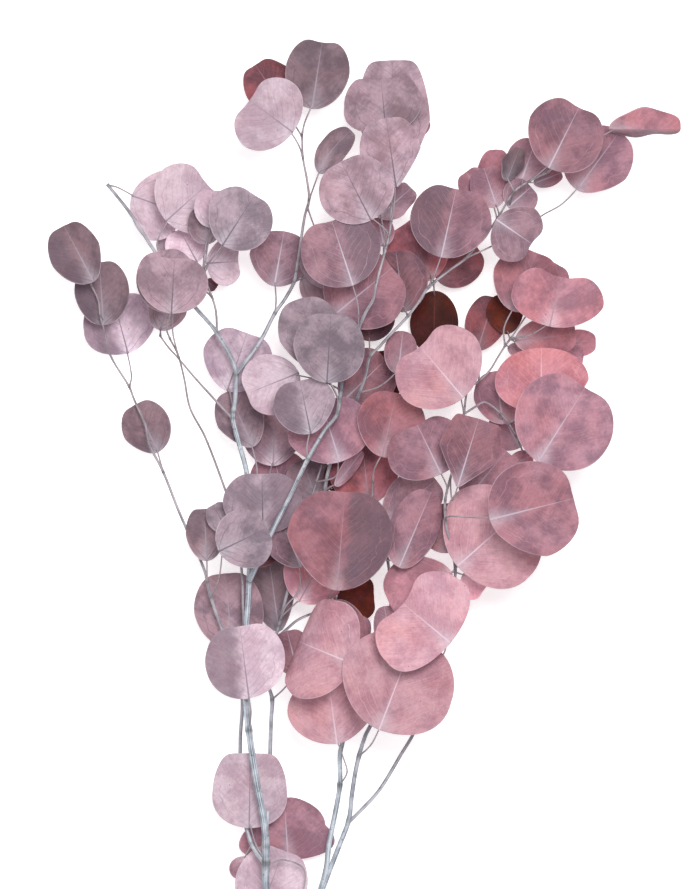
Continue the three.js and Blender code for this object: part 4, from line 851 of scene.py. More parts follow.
def nearest(path, pixel):
    """The point of a path in mm that comes closest in plan to a pixel, as on the solids."""
    target = place(pixel)[:2]
    best = None
    for start, end in zip(path[:-1], path[1:]):
        step = (end - start)[:2]
        part = np.clip(np.dot(target - start[:2], step) / np.dot(step, step), 0, 1)
        spot = start + (end - start) * part
        gap = np.linalg.norm(spot[:2] - target)
        if best is None or gap < best[0]:
            best = (gap, spot)
    return best[1]


def stem_path(stem):
    """The corners of a stem's route in mm."""
    return np.array([place(p, p[2]) for p in stem["route"]])


def stem_strand(name, first, last, joints, swelling):
    """One stretch of a stem as its points and radii in mm, thicker where a leaf or shoot leaves it."""
    stem = STEMS[name]
    corners = stem_path(stem)
    root, tip = stem["thick"]
    whole = smooth_path(corners)
    where = np.concatenate([[0], np.cumsum(np.linalg.norm(np.diff(whole, axis=0), axis=1))])
    radii = (root + (tip - root) * where / where[-1]) / 2
    swell = np.zeros(len(whole))
    reach = SWELLING_REACH + SWELLING_OF_RADIUS * radii
    for joint in joints.get(name, ()):
        gap = np.linalg.norm(whole - joint, axis=1)
        swell = np.maximum(swell, swelling * np.exp(-((gap / reach) ** 2)))
    radii = radii * (1 + swell)
    begin = np.argmin(np.linalg.norm(whole - corners[first], axis=1))
    end = np.argmin(np.linalg.norm(whole - corners[last], axis=1))
    return whole[begin:end + 1], radii[begin:end + 1]


def petiole_corners(facts, blade, start):
    """The petiole's bends in mm, from the stem into the blade, with heights as on the solids."""
    base = blade.point(np.array([0.0]), 1, 0)[0]
    inside = blade.point(np.array([math.acos(1 - 2 * PETIOLE_SUNK)]), 1, 0)[0]
    bends = [place(p, p[2] if len(p) > 2 else 0) for p in facts.get("via", [])]
    plan = [start, *bends, base]
    runs = np.concatenate([[0], np.cumsum([np.hypot(*(b - a)[:2]) for a, b in zip(plan[:-1], plan[1:])])])
    for i, (bend, pixel) in enumerate(zip(bends, facts.get("via", []))):
        if len(pixel) < 3:
            bend[2] = start[2] + (base[2] - start[2]) * runs[i + 1] / runs[-1]
    return [start, *bends, inside]


def plan_branch():
    """Every blade and petiole with its node, and the joints on every stem."""
    plans, corners, joints = [], {}, {}
    for number, facts in enumerate(LEAVES):
        blade = Blade(facts, number)
        route = corners[facts["on"]] if "on" in facts else stem_path(STEMS[facts["stem"]])
        start = nearest(route, facts["start"])
        path = petiole_corners(facts, blade, start)
        if "name" in facts:
            corners[facts["name"]] = path
        if "on" not in facts:
            joints.setdefault(facts["stem"], []).append(start)
        plans.append((facts, blade, path))
    for stem in STEMS.values():
        if "from" in stem:
            joints.setdefault(stem["from"], []).append(place(stem["route"][0], stem["route"][0][2]))
    return plans, joints


def add(tree, kind, links=None, **settings):
    """Adds a node with its settings, and links or fills its inputs."""
    node = tree.nodes.new(kind)
    for key, value in settings.items():
        setattr(node, key, value)
    for key, value in (links or {}).items():
        if isinstance(value, bpy.types.NodeSocket):
            tree.links.new(value, node.inputs[key])
        else:
            node.inputs[key].default_value = value
    return node


def vein_group():
    """A leaf's veins, edge and clouds from its own coordinates, the same for every tone."""
    tree = bpy.data.node_groups.new("leaf veins", "ShaderNodeTree")
    for name in ("Midrib", "Side veins", "Net", "Edge", "Cloud", "Mottle", "Specks", "Light", "Top",
                 "Glow", "Shaded half", "Drift"):
        tree.interface.new_socket(name, in_out="OUTPUT", socket_type="NodeSocketFloat")
    spot = add(tree, "ShaderNodeAttribute", attribute_name="leaf_spot").outputs["Vector"]
    sheet = add(tree, "ShaderNodeAttribute", attribute_name="leaf_sheet").outputs["Vector"]
    size = add(tree, "ShaderNodeAttribute", attribute_name="leaf_size").outputs["Vector"]
    run, side_away, fraction = add(tree, "ShaderNodeSeparateXYZ", {0: spot}).outputs
    reach, top, light = add(tree, "ShaderNodeSeparateXYZ", {0: sheet}).outputs
    length, chance, dark = add(tree, "ShaderNodeSeparateXYZ", {0: size}).outputs
    way = add(tree, "ShaderNodeMath", {0: run, 1: length}, operation="DIVIDE").outputs[0]
    away = add(tree, "ShaderNodeMath", {0: side_away}, operation="ABSOLUTE").outputs[0]
    side = add(tree, "ShaderNodeMath", {0: side_away}, operation="SIGN").outputs[0]
    shift = add(tree, "ShaderNodeVectorMath", {0: (310.0, 170.0, 90.0)}, operation="SCALE")
    tree.links.new(chance, shift.inputs["Scale"])
    flat = add(tree, "ShaderNodeCombineXYZ", {0: run, 1: side_away, 2: 0.0}).outputs[0]
    flat = add(tree, "ShaderNodeVectorMath", {0: flat, 1: shift.outputs[0]}, operation="ADD").outputs[0]
    wander = add(tree, "ShaderNodeTexNoise",
                 {"Vector": flat, "Scale": WANDERS, "Detail": 2.0}).outputs["Fac"]

    # Midrib: about 1 mm wide at the base, a hairline that dies out towards the tip
    wide = add(tree, "ShaderNodeMapRange", {"Value": way, "To Min": 0.85, "To Max": 0.3}).outputs[0]
    inner = add(tree, "ShaderNodeMath", {0: wide, 1: 0.35}, operation="MULTIPLY").outputs[0]
    midrib = add(tree, "ShaderNodeMapRange",
                 {"Value": away, "From Min": inner, "From Max": wide, "To Min": 1.0, "To Max": 0.0},
                 interpolation_type="SMOOTHSTEP").outputs[0]
    midrib_fade = add(tree, "ShaderNodeMapRange",
                      {"Value": way, "From Min": 0.35, "From Max": 0.95,
                       "To Min": 1.0, "To Max": 0.35}).outputs[0]
    midrib = add(tree, "ShaderNodeMath", {0: midrib, 1: midrib_fade}, operation="MULTIPLY").outputs[0]

    # The pair of strong side veins leaves the base steeply and then follows the margin
    decay = add(tree, "ShaderNodeMath", {0: way, 1: -7.5}, operation="MULTIPLY").outputs[0]
    decay = add(tree, "ShaderNodeMath", {0: decay}, operation="EXPONENT").outputs[0]
    line = add(tree, "ShaderNodeMath", {0: 1.0, 1: decay}, operation="SUBTRACT").outputs[0]
    bent = add(tree, "ShaderNodeMapRange",
               {"Value": wander, "From Min": 0.3, "From Max": 0.7,
                "To Min": 0.66, "To Max": 0.86}).outputs[0]
    line = add(tree, "ShaderNodeMath", {0: line, 1: bent}, operation="MULTIPLY").outputs[0]
    line_gap = add(tree, "ShaderNodeMath", {0: fraction, 1: line}, operation="SUBTRACT").outputs[0]
    line_gap = add(tree, "ShaderNodeMath", {0: line_gap, 1: reach}, operation="MULTIPLY").outputs[0]
    line_gap = add(tree, "ShaderNodeMath", {0: line_gap}, operation="ABSOLUTE").outputs[0]
    line_wide = add(tree, "ShaderNodeMapRange", {"Value": way, "To Min": 0.6, "To Max": 0.3}).outputs[0]
    margin_vein = add(tree, "ShaderNodeMapRange",
                      {"Value": line_gap, "From Min": 0.1, "From Max": line_wide,
                       "To Min": 1.0, "To Max": 0.0},
                      interpolation_type="SMOOTHSTEP").outputs[0]
    margin_fade = add(tree, "ShaderNodeMapRange",
                      {"Value": way, "From Min": 0.3, "From Max": 0.85,
                       "To Min": 1.0, "To Max": 0.2}).outputs[0]
    margin_vein = add(tree, "ShaderNodeMath",
                      {0: margin_vein, 1: margin_fade}, operation="MULTIPLY").outputs[0]

    # Thin veins leave the midrib at 45 degrees, about every 5 mm, and end at the margin vein
    slant = add(tree, "ShaderNodeMath", {0: away, 1: -0.95, 2: run}, operation="MULTIPLY_ADD").outputs[0]
    gentle = add(tree, "ShaderNodeTexNoise",
                 {"Vector": flat, "Scale": STRAYS, "Detail": 1.0}).outputs["Fac"]
    stray = add(tree, "ShaderNodeMath", {0: gentle, 1: 9.0}, operation="MULTIPLY").outputs[0]
    slant = add(tree, "ShaderNodeMath", {0: slant, 1: stray}, operation="ADD").outputs[0]
    slant = add(tree, "ShaderNodeMath", {0: side, 1: 1.9, 2: slant}, operation="MULTIPLY_ADD").outputs[0]
    rib_gap = add(tree, "ShaderNodeMath",
                  {0: slant, 1: HALF_VEIN_SPACING}, operation="PINGPONG").outputs[0]
    rib = add(tree, "ShaderNodeMapRange",
              {"Value": rib_gap, "From Min": 0.04, "From Max": 0.4, "To Min": 1.0, "To Max": 0.0},
              interpolation_type="SMOOTHSTEP").outputs[0]
    rib_fade = add(tree, "ShaderNodeMapRange",
                   {"Value": fraction, "From Min": 0.3, "From Max": 0.85,
                    "To Min": 0.85, "To Max": 0.0}).outputs[0]
    rib = add(tree, "ShaderNodeMath", {0: rib, 1: rib_fade}, operation="MULTIPLY").outputs[0]
    here = add(tree, "ShaderNodeMapRange",
               {"Value": wander, "From Min": 0.38, "From Max": 0.62, "To Min": 0.25},
               interpolation_type="SMOOTHSTEP").outputs[0]
    rib = add(tree, "ShaderNodeMath", {0: rib, 1: here}, operation="MULTIPLY").outputs[0]
    sides = add(tree, "ShaderNodeMath", {0: rib, 1: margin_vein}, operation="MAXIMUM").outputs[0]

    # The finest veins close a net
    cells = add(tree, "ShaderNodeTexVoronoi",
                {"Vector": flat, "Scale": MESHES}, feature="DISTANCE_TO_EDGE")
    net = add(tree, "ShaderNodeMapRange",
              {"Value": cells.outputs["Distance"], "From Min": 0.0, "From Max": 0.12,
               "To Min": 1.0, "To Max": 0.0},
              interpolation_type="SMOOTHSTEP").outputs[0]

    # An edge half a millimetre wide, strongest near the base
    margin = add(tree, "ShaderNodeMath", {0: reach, 1: away}, operation="SUBTRACT").outputs[0]
    edge = add(tree, "ShaderNodeMapRange",
               {"Value": margin, "From Min": 0.25, "From Max": 0.85, "To Min": 1.0, "To Max": 0.0},
               interpolation_type="SMOOTHSTEP").outputs[0]
    edge_fade = add(tree, "ShaderNodeMapRange",
                    {"Value": way, "From Min": 0.1, "From Max": 0.6,
                     "To Min": 1.0, "To Max": 0.1}).outputs[0]
    edge = add(tree, "ShaderNodeMath", {0: edge, 1: edge_fade}, operation="MULTIPLY").outputs[0]
    whole = add(tree, "ShaderNodeMath", {0: way, 1: 0.03}, operation="GREATER_THAN").outputs[0]
    edge = add(tree, "ShaderNodeMath", {0: edge, 1: whole}, operation="MULTIPLY").outputs[0]

    # Wax left round the base and along the midrib
    near = add(tree, "ShaderNodeMath", {0: run, 1: 0.3, 2: away}, operation="MULTIPLY_ADD").outputs[0]
    near = add(tree, "ShaderNodeMapRange",
               {"Value": near, "From Min": 0.0, "From Max": 13.0, "To Min": 1.0, "To Max": 0.0},
               interpolation_type="SMOOTHSTEP").outputs[0]
    tall = add(tree, "ShaderNodeMapRange",
               {"Value": way, "From Min": 0.0, "From Max": 0.8, "To Min": 1.0, "To Max": 0.0}).outputs[0]
    glow = add(tree, "ShaderNodeMath", {0: near, 1: tall}, operation="MULTIPLY").outputs[0]

    # Clouds of dye, brushed mottling that runs with the side veins, and a few rust specks
    cloud = add(tree, "ShaderNodeTexNoise",
                {"Vector": flat, "Scale": CLOUDS, "Detail": 5.0, "Roughness": 0.62})
    cloud = add(tree, "ShaderNodeMapRange",
                {"Value": cloud.outputs["Fac"], "From Min": 0.38, "From Max": 0.62},
                interpolation_type="SMOOTHSTEP").outputs[0]
    drift = add(tree, "ShaderNodeTexNoise", {"Vector": flat, "Scale": DRIFTS, "Detail": 2.0, "W": 3.0},
                noise_dimensions="4D").outputs["Fac"]
    brushed = add(tree, "ShaderNodeCombineXYZ", {0: slant, 1: side_away, 2: chance}).outputs[0]
    brushed = add(tree, "ShaderNodeMapping", {"Vector": brushed, "Scale": (0.75, 0.14, 40.0)}).outputs[0]
    brushed = add(tree, "ShaderNodeTexNoise",
                  {"Vector": brushed, "Scale": 1.0, "Detail": 4.0}).outputs["Fac"]
    mottle = add(tree, "ShaderNodeTexNoise",
                 {"Vector": flat, "Scale": MOTTLES, "Detail": 7.0, "Roughness": 0.78}).outputs["Fac"]
    mottle = add(tree, "ShaderNodeMix", {0: 0.36, 2: mottle, 3: brushed}).outputs[0]
    dots = add(tree, "ShaderNodeTexVoronoi", {"Vector": flat, "Scale": SPECKS, "Randomness": 1.0})
    dot = add(tree, "ShaderNodeMapRange",
              {"Value": dots.outputs["Distance"], "From Min": 0.03, "From Max": 0.08,
               "To Min": 1.0, "To Max": 0.0},
              interpolation_type="SMOOTHSTEP").outputs[0]
    rare, _, _ = add(tree, "ShaderNodeSeparateColor", {0: dots.outputs["Color"]}).outputs
    rare = add(tree, "ShaderNodeMath", {0: rare, 1: 0.68}, operation="GREATER_THAN").outputs[0]
    speck = add(tree, "ShaderNodeMath", {0: dot, 1: rare}, operation="MULTIPLY").outputs[0]

    # Painted shade on one half of the leaf, as where a fold turns that half from the light, on leaves
    # whose line names a dark half
    half = add(tree, "ShaderNodeMath", {0: side_away, 1: dark}, operation="MULTIPLY").outputs[0]
    ragged = add(tree, "ShaderNodeMath",
                 {0: wander, 1: 14.0, 2: -7.0}, operation="MULTIPLY_ADD").outputs[0]
    half = add(tree, "ShaderNodeMath", {0: half, 1: ragged}, operation="ADD").outputs[0]
    half = add(tree, "ShaderNodeMapRange", {"Value": half, "From Min": 0.0, "From Max": 9.0},
               interpolation_type="SMOOTHSTEP").outputs[0]
    has_shaded_half = add(tree, "ShaderNodeMath", {0: dark}, operation="ABSOLUTE").outputs[0]
    half = add(tree, "ShaderNodeMath", {0: half, 1: has_shaded_half}, operation="MULTIPLY").outputs[0]
    add(tree, "NodeGroupOutput", dict(enumerate(
        (midrib, sides, net, edge, cloud, mottle, speck, light, top, glow, half, drift))))
    return tree


def lay_over(tree, colour, part, layers):
    """A colour with tints laid over it, each given by where it shows, how strongly, and its colour."""
    for where, strength, tint in layers:
        share = add(tree, "ShaderNodeMath",
                    {0: part[where], 1: strength}, operation="MULTIPLY").outputs[0]
        colour = add(tree, "ShaderNodeMix", {0: share, 6: colour, 7: tint}, data_type="RGBA").outputs[2]
    return colour


def leaf_material(tone, colours, veins):
    """Preserved eucalyptus leaf: supple and matt, glycerine-dyed, with a faint waxy sheen."""
    material = bpy.data.materials.new(f"preserved leaf, {tone}")
    material.use_nodes = True
    tree = material.node_tree
    tree.nodes.clear()
    dye, cloud, rib, vein = (
        (*getattr(colours, f"{tone}_{role}"), 1) for role in ("dye", "cloud", "midrib", "veins"))
    group = add(tree, "ShaderNodeGroup", node_tree=veins)
    part = {socket.name: socket for socket in group.outputs}
    colour = add(tree, "ShaderNodeMix", {0: part["Cloud"], 6: dye, 7: cloud}, data_type="RGBA").outputs[2]
    share = WAX_SHARE_OF_DARK.get(tone, WAX_SHARE)
    # Over the dye: the pale wax round the base, then painted shade on the dark half
    colour = lay_over(tree, colour, part, (
        ("Glow", share, (*linear("#ded6e0"), 1)),
        ("Shaded half", 0.72, (*linear("#75616d"), 1))))
    # Lightness from the mottle, times the leaf's light, which is partly dye and partly painted light and
    # shade
    light = add(tree, "ShaderNodeMapRange",
                {"Value": part["Mottle"], "From Min": 0.32, "From Max": 0.68,
                 "To Min": 0.76, "To Max": 1.2}).outputs[0]
    light = add(tree, "ShaderNodeMath", {0: light, 1: part["Light"]}, operation="MULTIPLY").outputs[0]
    hue = add(tree, "ShaderNodeMapRange",
              {"Value": part["Drift"], "From Min": 0.3, "From Max": 0.7,
               "To Min": 0.488, "To Max": 0.514}).outputs[0]
    full = add(tree, "ShaderNodeMapRange",
               {"Value": part["Drift"], "From Min": 0.3, "From Max": 0.7,
                "To Min": 0.88, "To Max": 1.08}).outputs[0]
    colour = add(tree, "ShaderNodeHueSaturation",
                 {"Hue": hue, "Saturation": full, "Value": light, "Color": colour}).outputs[0]
    colour = lay_over(tree, colour, part, (
        ("Net", 0.07, vein),
        ("Side veins", 0.48, vein),
        ("Edge", 1.2 * share, (*linear("#d9c8d2"), 1)),
        ("Midrib", 0.85, rib),
        ("Specks", 0.7, (*linear("#7a3a44"), 1))))
    under = (*linear("#b3a2ab"), 1)
    beneath = add(tree, "ShaderNodeMapRange",
                  {"Value": part["Top"], "To Min": 0.8 * share, "To Max": 0.0}).outputs[0]
    colour = add(tree, "ShaderNodeMix", {0: beneath, 6: colour, 7: under}, data_type="RGBA").outputs[2]
    relief = add(tree, "ShaderNodeMath", {0: part["Side veins"], 1: 0.8}, operation="MULTIPLY").outputs[0]
    relief = add(tree, "ShaderNodeMath",
                 {0: part["Net"], 1: 0.25, 2: relief}, operation="MULTIPLY_ADD").outputs[0]
    relief = add(tree, "ShaderNodeMath",
                 {0: part["Mottle"], 1: 0.8, 2: relief}, operation="MULTIPLY_ADD").outputs[0]
    bump = add(tree, "ShaderNodeBump",
               {"Strength": 0.8, "Distance": 0.22 * MM, "Height": relief}).outputs[0]
    rough = add(tree, "ShaderNodeMapRange",
                {"Value": part["Mottle"], "To Min": 0.5, "To Max": 0.72}).outputs[0]
    shader = add(tree, "ShaderNodeBsdfPrincipled", {
        "Base Color": colour, "Roughness": rough, "Normal": bump, "IOR": 1.45,
        "Sheen Weight": 0.03, "Sheen Roughness": 0.5, "Specular IOR Level": 0.12 + 0.3 * share})
    add(tree, "ShaderNodeOutputMaterial", {0: shader.outputs[0]})
    return material


def bark_material(name, colours, rough):
    """Smooth young eucalyptus bark: streaks of blue-white wax on stout stems, browner on thin ones; the
    light and dark streaks also paint highlight and shade along the stems
    """
    material = bpy.data.materials.new(name)
    material.use_nodes = True
    tree = material.node_tree
    tree.nodes.clear()
    bloom_and_highlight, bare_and_shade, mark, thin, thin_bare_and_shade = (
        (*getattr(colours, role), 1) for role in ("bloom_and_highlight", "bark", "scar", "twig", "twig_brown_and_shaded"))
    along = add(tree, "ShaderNodeAttribute", attribute_name="along").outputs["Fac"]
    around = add(tree, "ShaderNodeAttribute", attribute_name="around").outputs["Fac"]
    girth = add(tree, "ShaderNodeAttribute", attribute_name="girth").outputs["Fac"]
    where = add(tree, "ShaderNodeTexCoord").outputs["Object"]
    turn = add(tree, "ShaderNodeMath", {0: around, 1: 2 * math.pi}, operation="MULTIPLY").outputs[0]
    across = add(tree, "ShaderNodeMath", {0: turn}, operation="COSINE").outputs[0]
    over = add(tree, "ShaderNodeMath", {0: turn}, operation="SINE").outputs[0]
    streak = add(tree, "ShaderNodeCombineXYZ", {0: across, 1: over, 2: along}).outputs[0]
    streak = add(tree, "ShaderNodeMapping", {"Vector": streak, "Scale": STREAKS}).outputs[0]
    streaks = add(tree, "ShaderNodeTexNoise",
                  {"Vector": streak, "Scale": 1.0, "Detail": 4.0}).outputs["Fac"]
    patches = add(tree, "ShaderNodeTexNoise",
                  {"Vector": where, "Scale": PATCHES, "Detail": 3.0}).outputs["Fac"]
    # Streaks mix wax and bare bark, which also paint highlight and shade along the stems
    wax_and_highlight = add(tree, "ShaderNodeMath",
                {0: patches, 1: 0.45, 2: streaks}, operation="MULTIPLY_ADD").outputs[0]
    wax_and_highlight = add(tree, "ShaderNodeMapRange", {"Value": wax_and_highlight, "From Min": 0.56, "From Max": 0.86},
                interpolation_type="SMOOTHSTEP").outputs[0]
    stout = add(tree, "ShaderNodeMapRange",
                {"Value": girth, "From Min": 0.8 * MM, "From Max": 1.7 * MM}).outputs[0]
    light = add(tree, "ShaderNodeMix", {0: stout, 6: thin, 7: bloom_and_highlight}, data_type="RGBA").outputs[2]
    dark = add(tree, "ShaderNodeMix", {0: stout, 6: thin_bare_and_shade, 7: bare_and_shade}, data_type="RGBA").outputs[2]
    colour = add(tree, "ShaderNodeMix", {0: wax_and_highlight, 6: dark, 7: light}, data_type="RGBA").outputs[2]
    scar = add(tree, "ShaderNodeAttribute", attribute_name="scar").outputs["Fac"]
    dots = add(tree, "ShaderNodeTexNoise",
               {"Vector": where, "Scale": DOTS, "Detail": 2.0}).outputs["Fac"]
    dots = add(tree, "ShaderNodeMapRange",
               {"Value": dots, "From Min": 0.62, "From Max": 0.72, "To Max": 0.6}).outputs[0]
    scar = add(tree, "ShaderNodeMath", {0: scar, 1: dots}, operation="MAXIMUM").outputs[0]
    colour = add(tree, "ShaderNodeMix", {0: scar, 6: colour, 7: mark}, data_type="RGBA").outputs[2]
    bump = add(tree, "ShaderNodeBump",
               {"Strength": 0.7, "Distance": 0.2 * MM, "Height": streaks}).outputs[0]
    shader = add(tree, "ShaderNodeBsdfPrincipled", {
        "Base Color": colour, "Roughness": rough, "Normal": bump, "IOR": 1.45, "Specular IOR Level": 0.3})
    add(tree, "ShaderNodeOutputMaterial", {0: shader.outputs[0]})
    return material


def cut_material(colour):
    """Freshly cut pale wood, with a fibrous, dull face."""
    material = bpy.data.materials.new("cut wood")
    material.use_nodes = True
    tree = material.node_tree
    tree.nodes.clear()
    where = add(tree, "ShaderNodeTexCoord").outputs["Object"]
    grain = add(tree, "ShaderNodeTexNoise",
                {"Vector": where, "Scale": GRAIN, "Detail": 4.0}).outputs["Fac"]
    shade = add(tree, "ShaderNodeMix",
                {0: grain, 6: (*colour, 1), 7: (*linear("#8d714f"), 1)}, data_type="RGBA").outputs[2]
    bump = add(tree, "ShaderNodeBump",
               {"Strength": 0.6, "Distance": 0.2 * MM, "Height": grain}).outputs[0]
    shader = add(tree, "ShaderNodeBsdfPrincipled",
                 {"Base Color": shade, "Roughness": 0.85, "Normal": bump})
    add(tree, "ShaderNodeOutputMaterial", {0: shader.outputs[0]})
    return material


def sweep_tree():
    """Geometry Nodes that sweep a round rod along each path of a mesh, as thick as its points say."""
    tree = bpy.data.node_groups.new("swept stems", "GeometryNodeTree")
    tree.interface.new_socket("Paths", in_out="INPUT", socket_type="NodeSocketGeometry")
    sides = tree.interface.new_socket("Sides", in_out="INPUT", socket_type="NodeSocketInt")
    sides.default_value = 12
    tree.interface.new_socket("Bark", in_out="INPUT", socket_type="NodeSocketMaterial")
    tree.interface.new_socket("Stems", in_out="OUTPUT", socket_type="NodeSocketGeometry")
    given = add(tree, "NodeGroupInput")
    paths = add(tree, "GeometryNodeMeshToCurve", {"Mesh": given.outputs["Paths"]}).outputs[0]
    thickness = add(tree, "GeometryNodeInputNamedAttribute", {"Name": "thickness"}, data_type="FLOAT")
    length = add(tree, "GeometryNodeSplineParameter").outputs["Length"]
    paths = add(tree, "GeometryNodeStoreNamedAttribute",
                {"Geometry": paths, "Name": "along", "Value": length},
                data_type="FLOAT", domain="POINT").outputs[0]
    paths = add(tree, "GeometryNodeStoreNamedAttribute",
                {"Geometry": paths, "Name": "girth", "Value": thickness.outputs["Attribute"]},
                data_type="FLOAT", domain="POINT").outputs[0]
    ring = add(tree, "GeometryNodeCurvePrimitiveCircle",
               {"Resolution": given.outputs["Sides"], "Radius": 1.0}).outputs["Curve"]
    turn = add(tree, "GeometryNodeSplineParameter").outputs["Factor"]
    ring = add(tree, "GeometryNodeStoreNamedAttribute",
               {"Geometry": ring, "Name": "around", "Value": turn},
               data_type="FLOAT", domain="POINT").outputs[0]
    rods = add(tree, "GeometryNodeCurveToMesh", {
        "Curve": paths, "Profile Curve": ring, "Scale": thickness.outputs["Attribute"],
        "Fill Caps": True}).outputs[0]
    rods = add(tree, "GeometryNodeSetShadeSmooth", {"Geometry": rods}).outputs[0]
    rods = add(tree, "GeometryNodeRealizeInstances", {"Geometry": rods}).outputs[0]
    rods = add(tree, "GeometryNodeSetMaterial",
               {"Geometry": rods, "Material": given.outputs["Bark"]}).outputs[0]
    add(tree, "NodeGroupOutput", {0: rods})
    return tree


def sweep(name, strands, sides, bark):
    """A plain mesh of rods from strands of (points, radii, scars), all in mm."""
    points, edges, radii, scars = [], [], [], []
    for path, radius, scar in strands:
        first = len(points)
        points += [tuple(p * MM) for p in path]
        radii += [r * MM for r in radius]
        scars += list(scar)
        edges += [(i, i + 1) for i in range(first, len(points) - 1)]
    mesh = bpy.data.meshes.new(name)
    mesh.from_pydata(points, edges, [])
    mesh.attributes.new("thickness", "FLOAT", "POINT").data.foreach_set("value", radii)
    mesh.attributes.new("scar", "FLOAT", "POINT").data.foreach_set("value", scars)
    guide = bpy.data.objects.new(name, mesh)
    bpy.context.scene.collection.objects.link(guide)
    tree = bpy.data.node_groups.get("swept stems") or sweep_tree()
    modifier = guide.modifiers.new("sweep", "NODES")
    modifier.node_group = tree
    inputs = {s.name: s.identifier for s in tree.interface.items_tree if s.in_out == "INPUT"}
    modifier[inputs["Sides"]] = sides
    modifier[inputs["Bark"]] = bark
    bpy.context.view_layer.update()
    evaluated = guide.evaluated_get(bpy.context.evaluated_depsgraph_get())
    result = bpy.data.meshes.new_from_object(evaluated)
    bpy.data.objects.remove(guide)
    if len(result.materials) == 0:
        result.materials.append(bark)
    return result


def scars_on(path, joints, reach):
    """How dark a stem is at each point of its path, strongest where something leaves it."""
    dark = np.zeros(len(path))
    for joint in joints:
        gap = np.linalg.norm(path - joint, axis=1)
        dark = np.maximum(dark, SCAR_DARKNESS * np.exp(-((gap / reach) ** 2)))
    return dark


def blades_into(mesh, blades, sizes, materials):
    """Fills a mesh with blades, each in its tone's material and with its own coordinates."""
    points, faces, spots, sheets, own, tones, count = [], [], [], [], [], [], 0
    for facts, blade in blades:
        p, f, s, r = blade_mesh(blade, sizes)
        faces += [tuple(i + count for i in face) for face in f]
        tones += [facts["tone"]] * len(f)
        points.append(p * MM)
        spots.append(s)
        # The leaf's light, partly painted light and shade, rides along with its coordinates
        sheets.append(np.column_stack([r, np.full(len(p), blade.light)]))
        # the leaf's dark: the side of its painted shade half
        own.append(np.tile([blade.length, blade.chance, blade.dark], (len(p), 1)))
        count += len(p)
    mesh.from_pydata(np.concatenate(points).tolist(), [], faces)
    for name, values in (("leaf_spot", spots), ("leaf_sheet", sheets), ("leaf_size", own)):
        attribute = mesh.attributes.new(name, "FLOAT_VECTOR", "POINT")
        attribute.data.foreach_set("vector", np.concatenate(values).astype(np.float32).ravel())
    used = sorted(set(tones))
    for tone in used:
        mesh.materials.append(materials[tone])
    mesh.polygons.foreach_set("material_index", [used.index(tone) for tone in tones])
    mesh.shade_smooth()


def settle(name, meshes):
    """Joins meshes in one object at the origin, which rides on the branch and stands for its CAD node."""
    objects = []
    for mesh in meshes:
        piece = bpy.data.objects.new(name, mesh)
        bpy.context.scene.collection.objects.link(piece)
        objects.append(piece)
    whole = objects[0]
    if len(objects) > 1:
        with bpy.context.temp_override(active_object=whole, object=whole, selected_objects=objects,
                                       selected_editable_objects=objects):
            bpy.ops.object.join()
    whole.name = f"{name}_fine"
    whole.data.name = whole.name
    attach(whole, "root")
    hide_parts(name)
    return whole


def kit():
    """Materials and plans that the operators share, made once."""
    store = kit.__dict__.setdefault("store", {})
    if not store:
        scene = bpy.context.scene
        veins = vein_group()
        store["tones"] = {tone: leaf_material(tone, scene.branch_dyes, veins) for tone in TONES}
        bark = scene.branch_bark
        store["bark"] = bark_material("young eucalyptus bark", bark, 0.62)
        store["twig"] = bark_material("green shoot under wax", bark, 0.55)
        store["cut"] = cut_material(bark.cut)
        store["plans"], store["joints"] = plan_branch()
        store["slots"] = {part["node"]: part["material_slot"] for part in frame["record"]["subparts"]}
    return store


class BRANCH_OT_wood(bpy.types.Operator):
    """Grow the woody stems, joined where they fork, with swellings, scars and the cut end"""
    bl_idname = "branch.wood"
    bl_label = "Woody stems"

    def execute(self, context):
        sizes = context.scene.branch_sizes
        store = kit()
        strands = []
        for name, stem in STEMS.items():
            last = stem.get("spray_at", len(stem["route"]) - 1)
            if last == 0:
                continue
            path, radii = stem_strand(name, 0, last, store["joints"], sizes.swelling)
            scars = scars_on(path, store["joints"].get(name, ()), STOUT_SCAR_REACH)
            strands.append((path, radii, scars))
        mesh = sweep("main_stem", strands, sizes.sides, store["bark"])
        mesh.materials.append(store["cut"])
        for face in mesh.polygons:
            if len(face.vertices) > 4:
                face.material_index = 1
                face.use_smooth = False
        for vertex in mesh.vertices:
            vertex.co.z = max(vertex.co.z, 0)
        piece = settle("main_stem", [mesh])
        return {"FINISHED"}


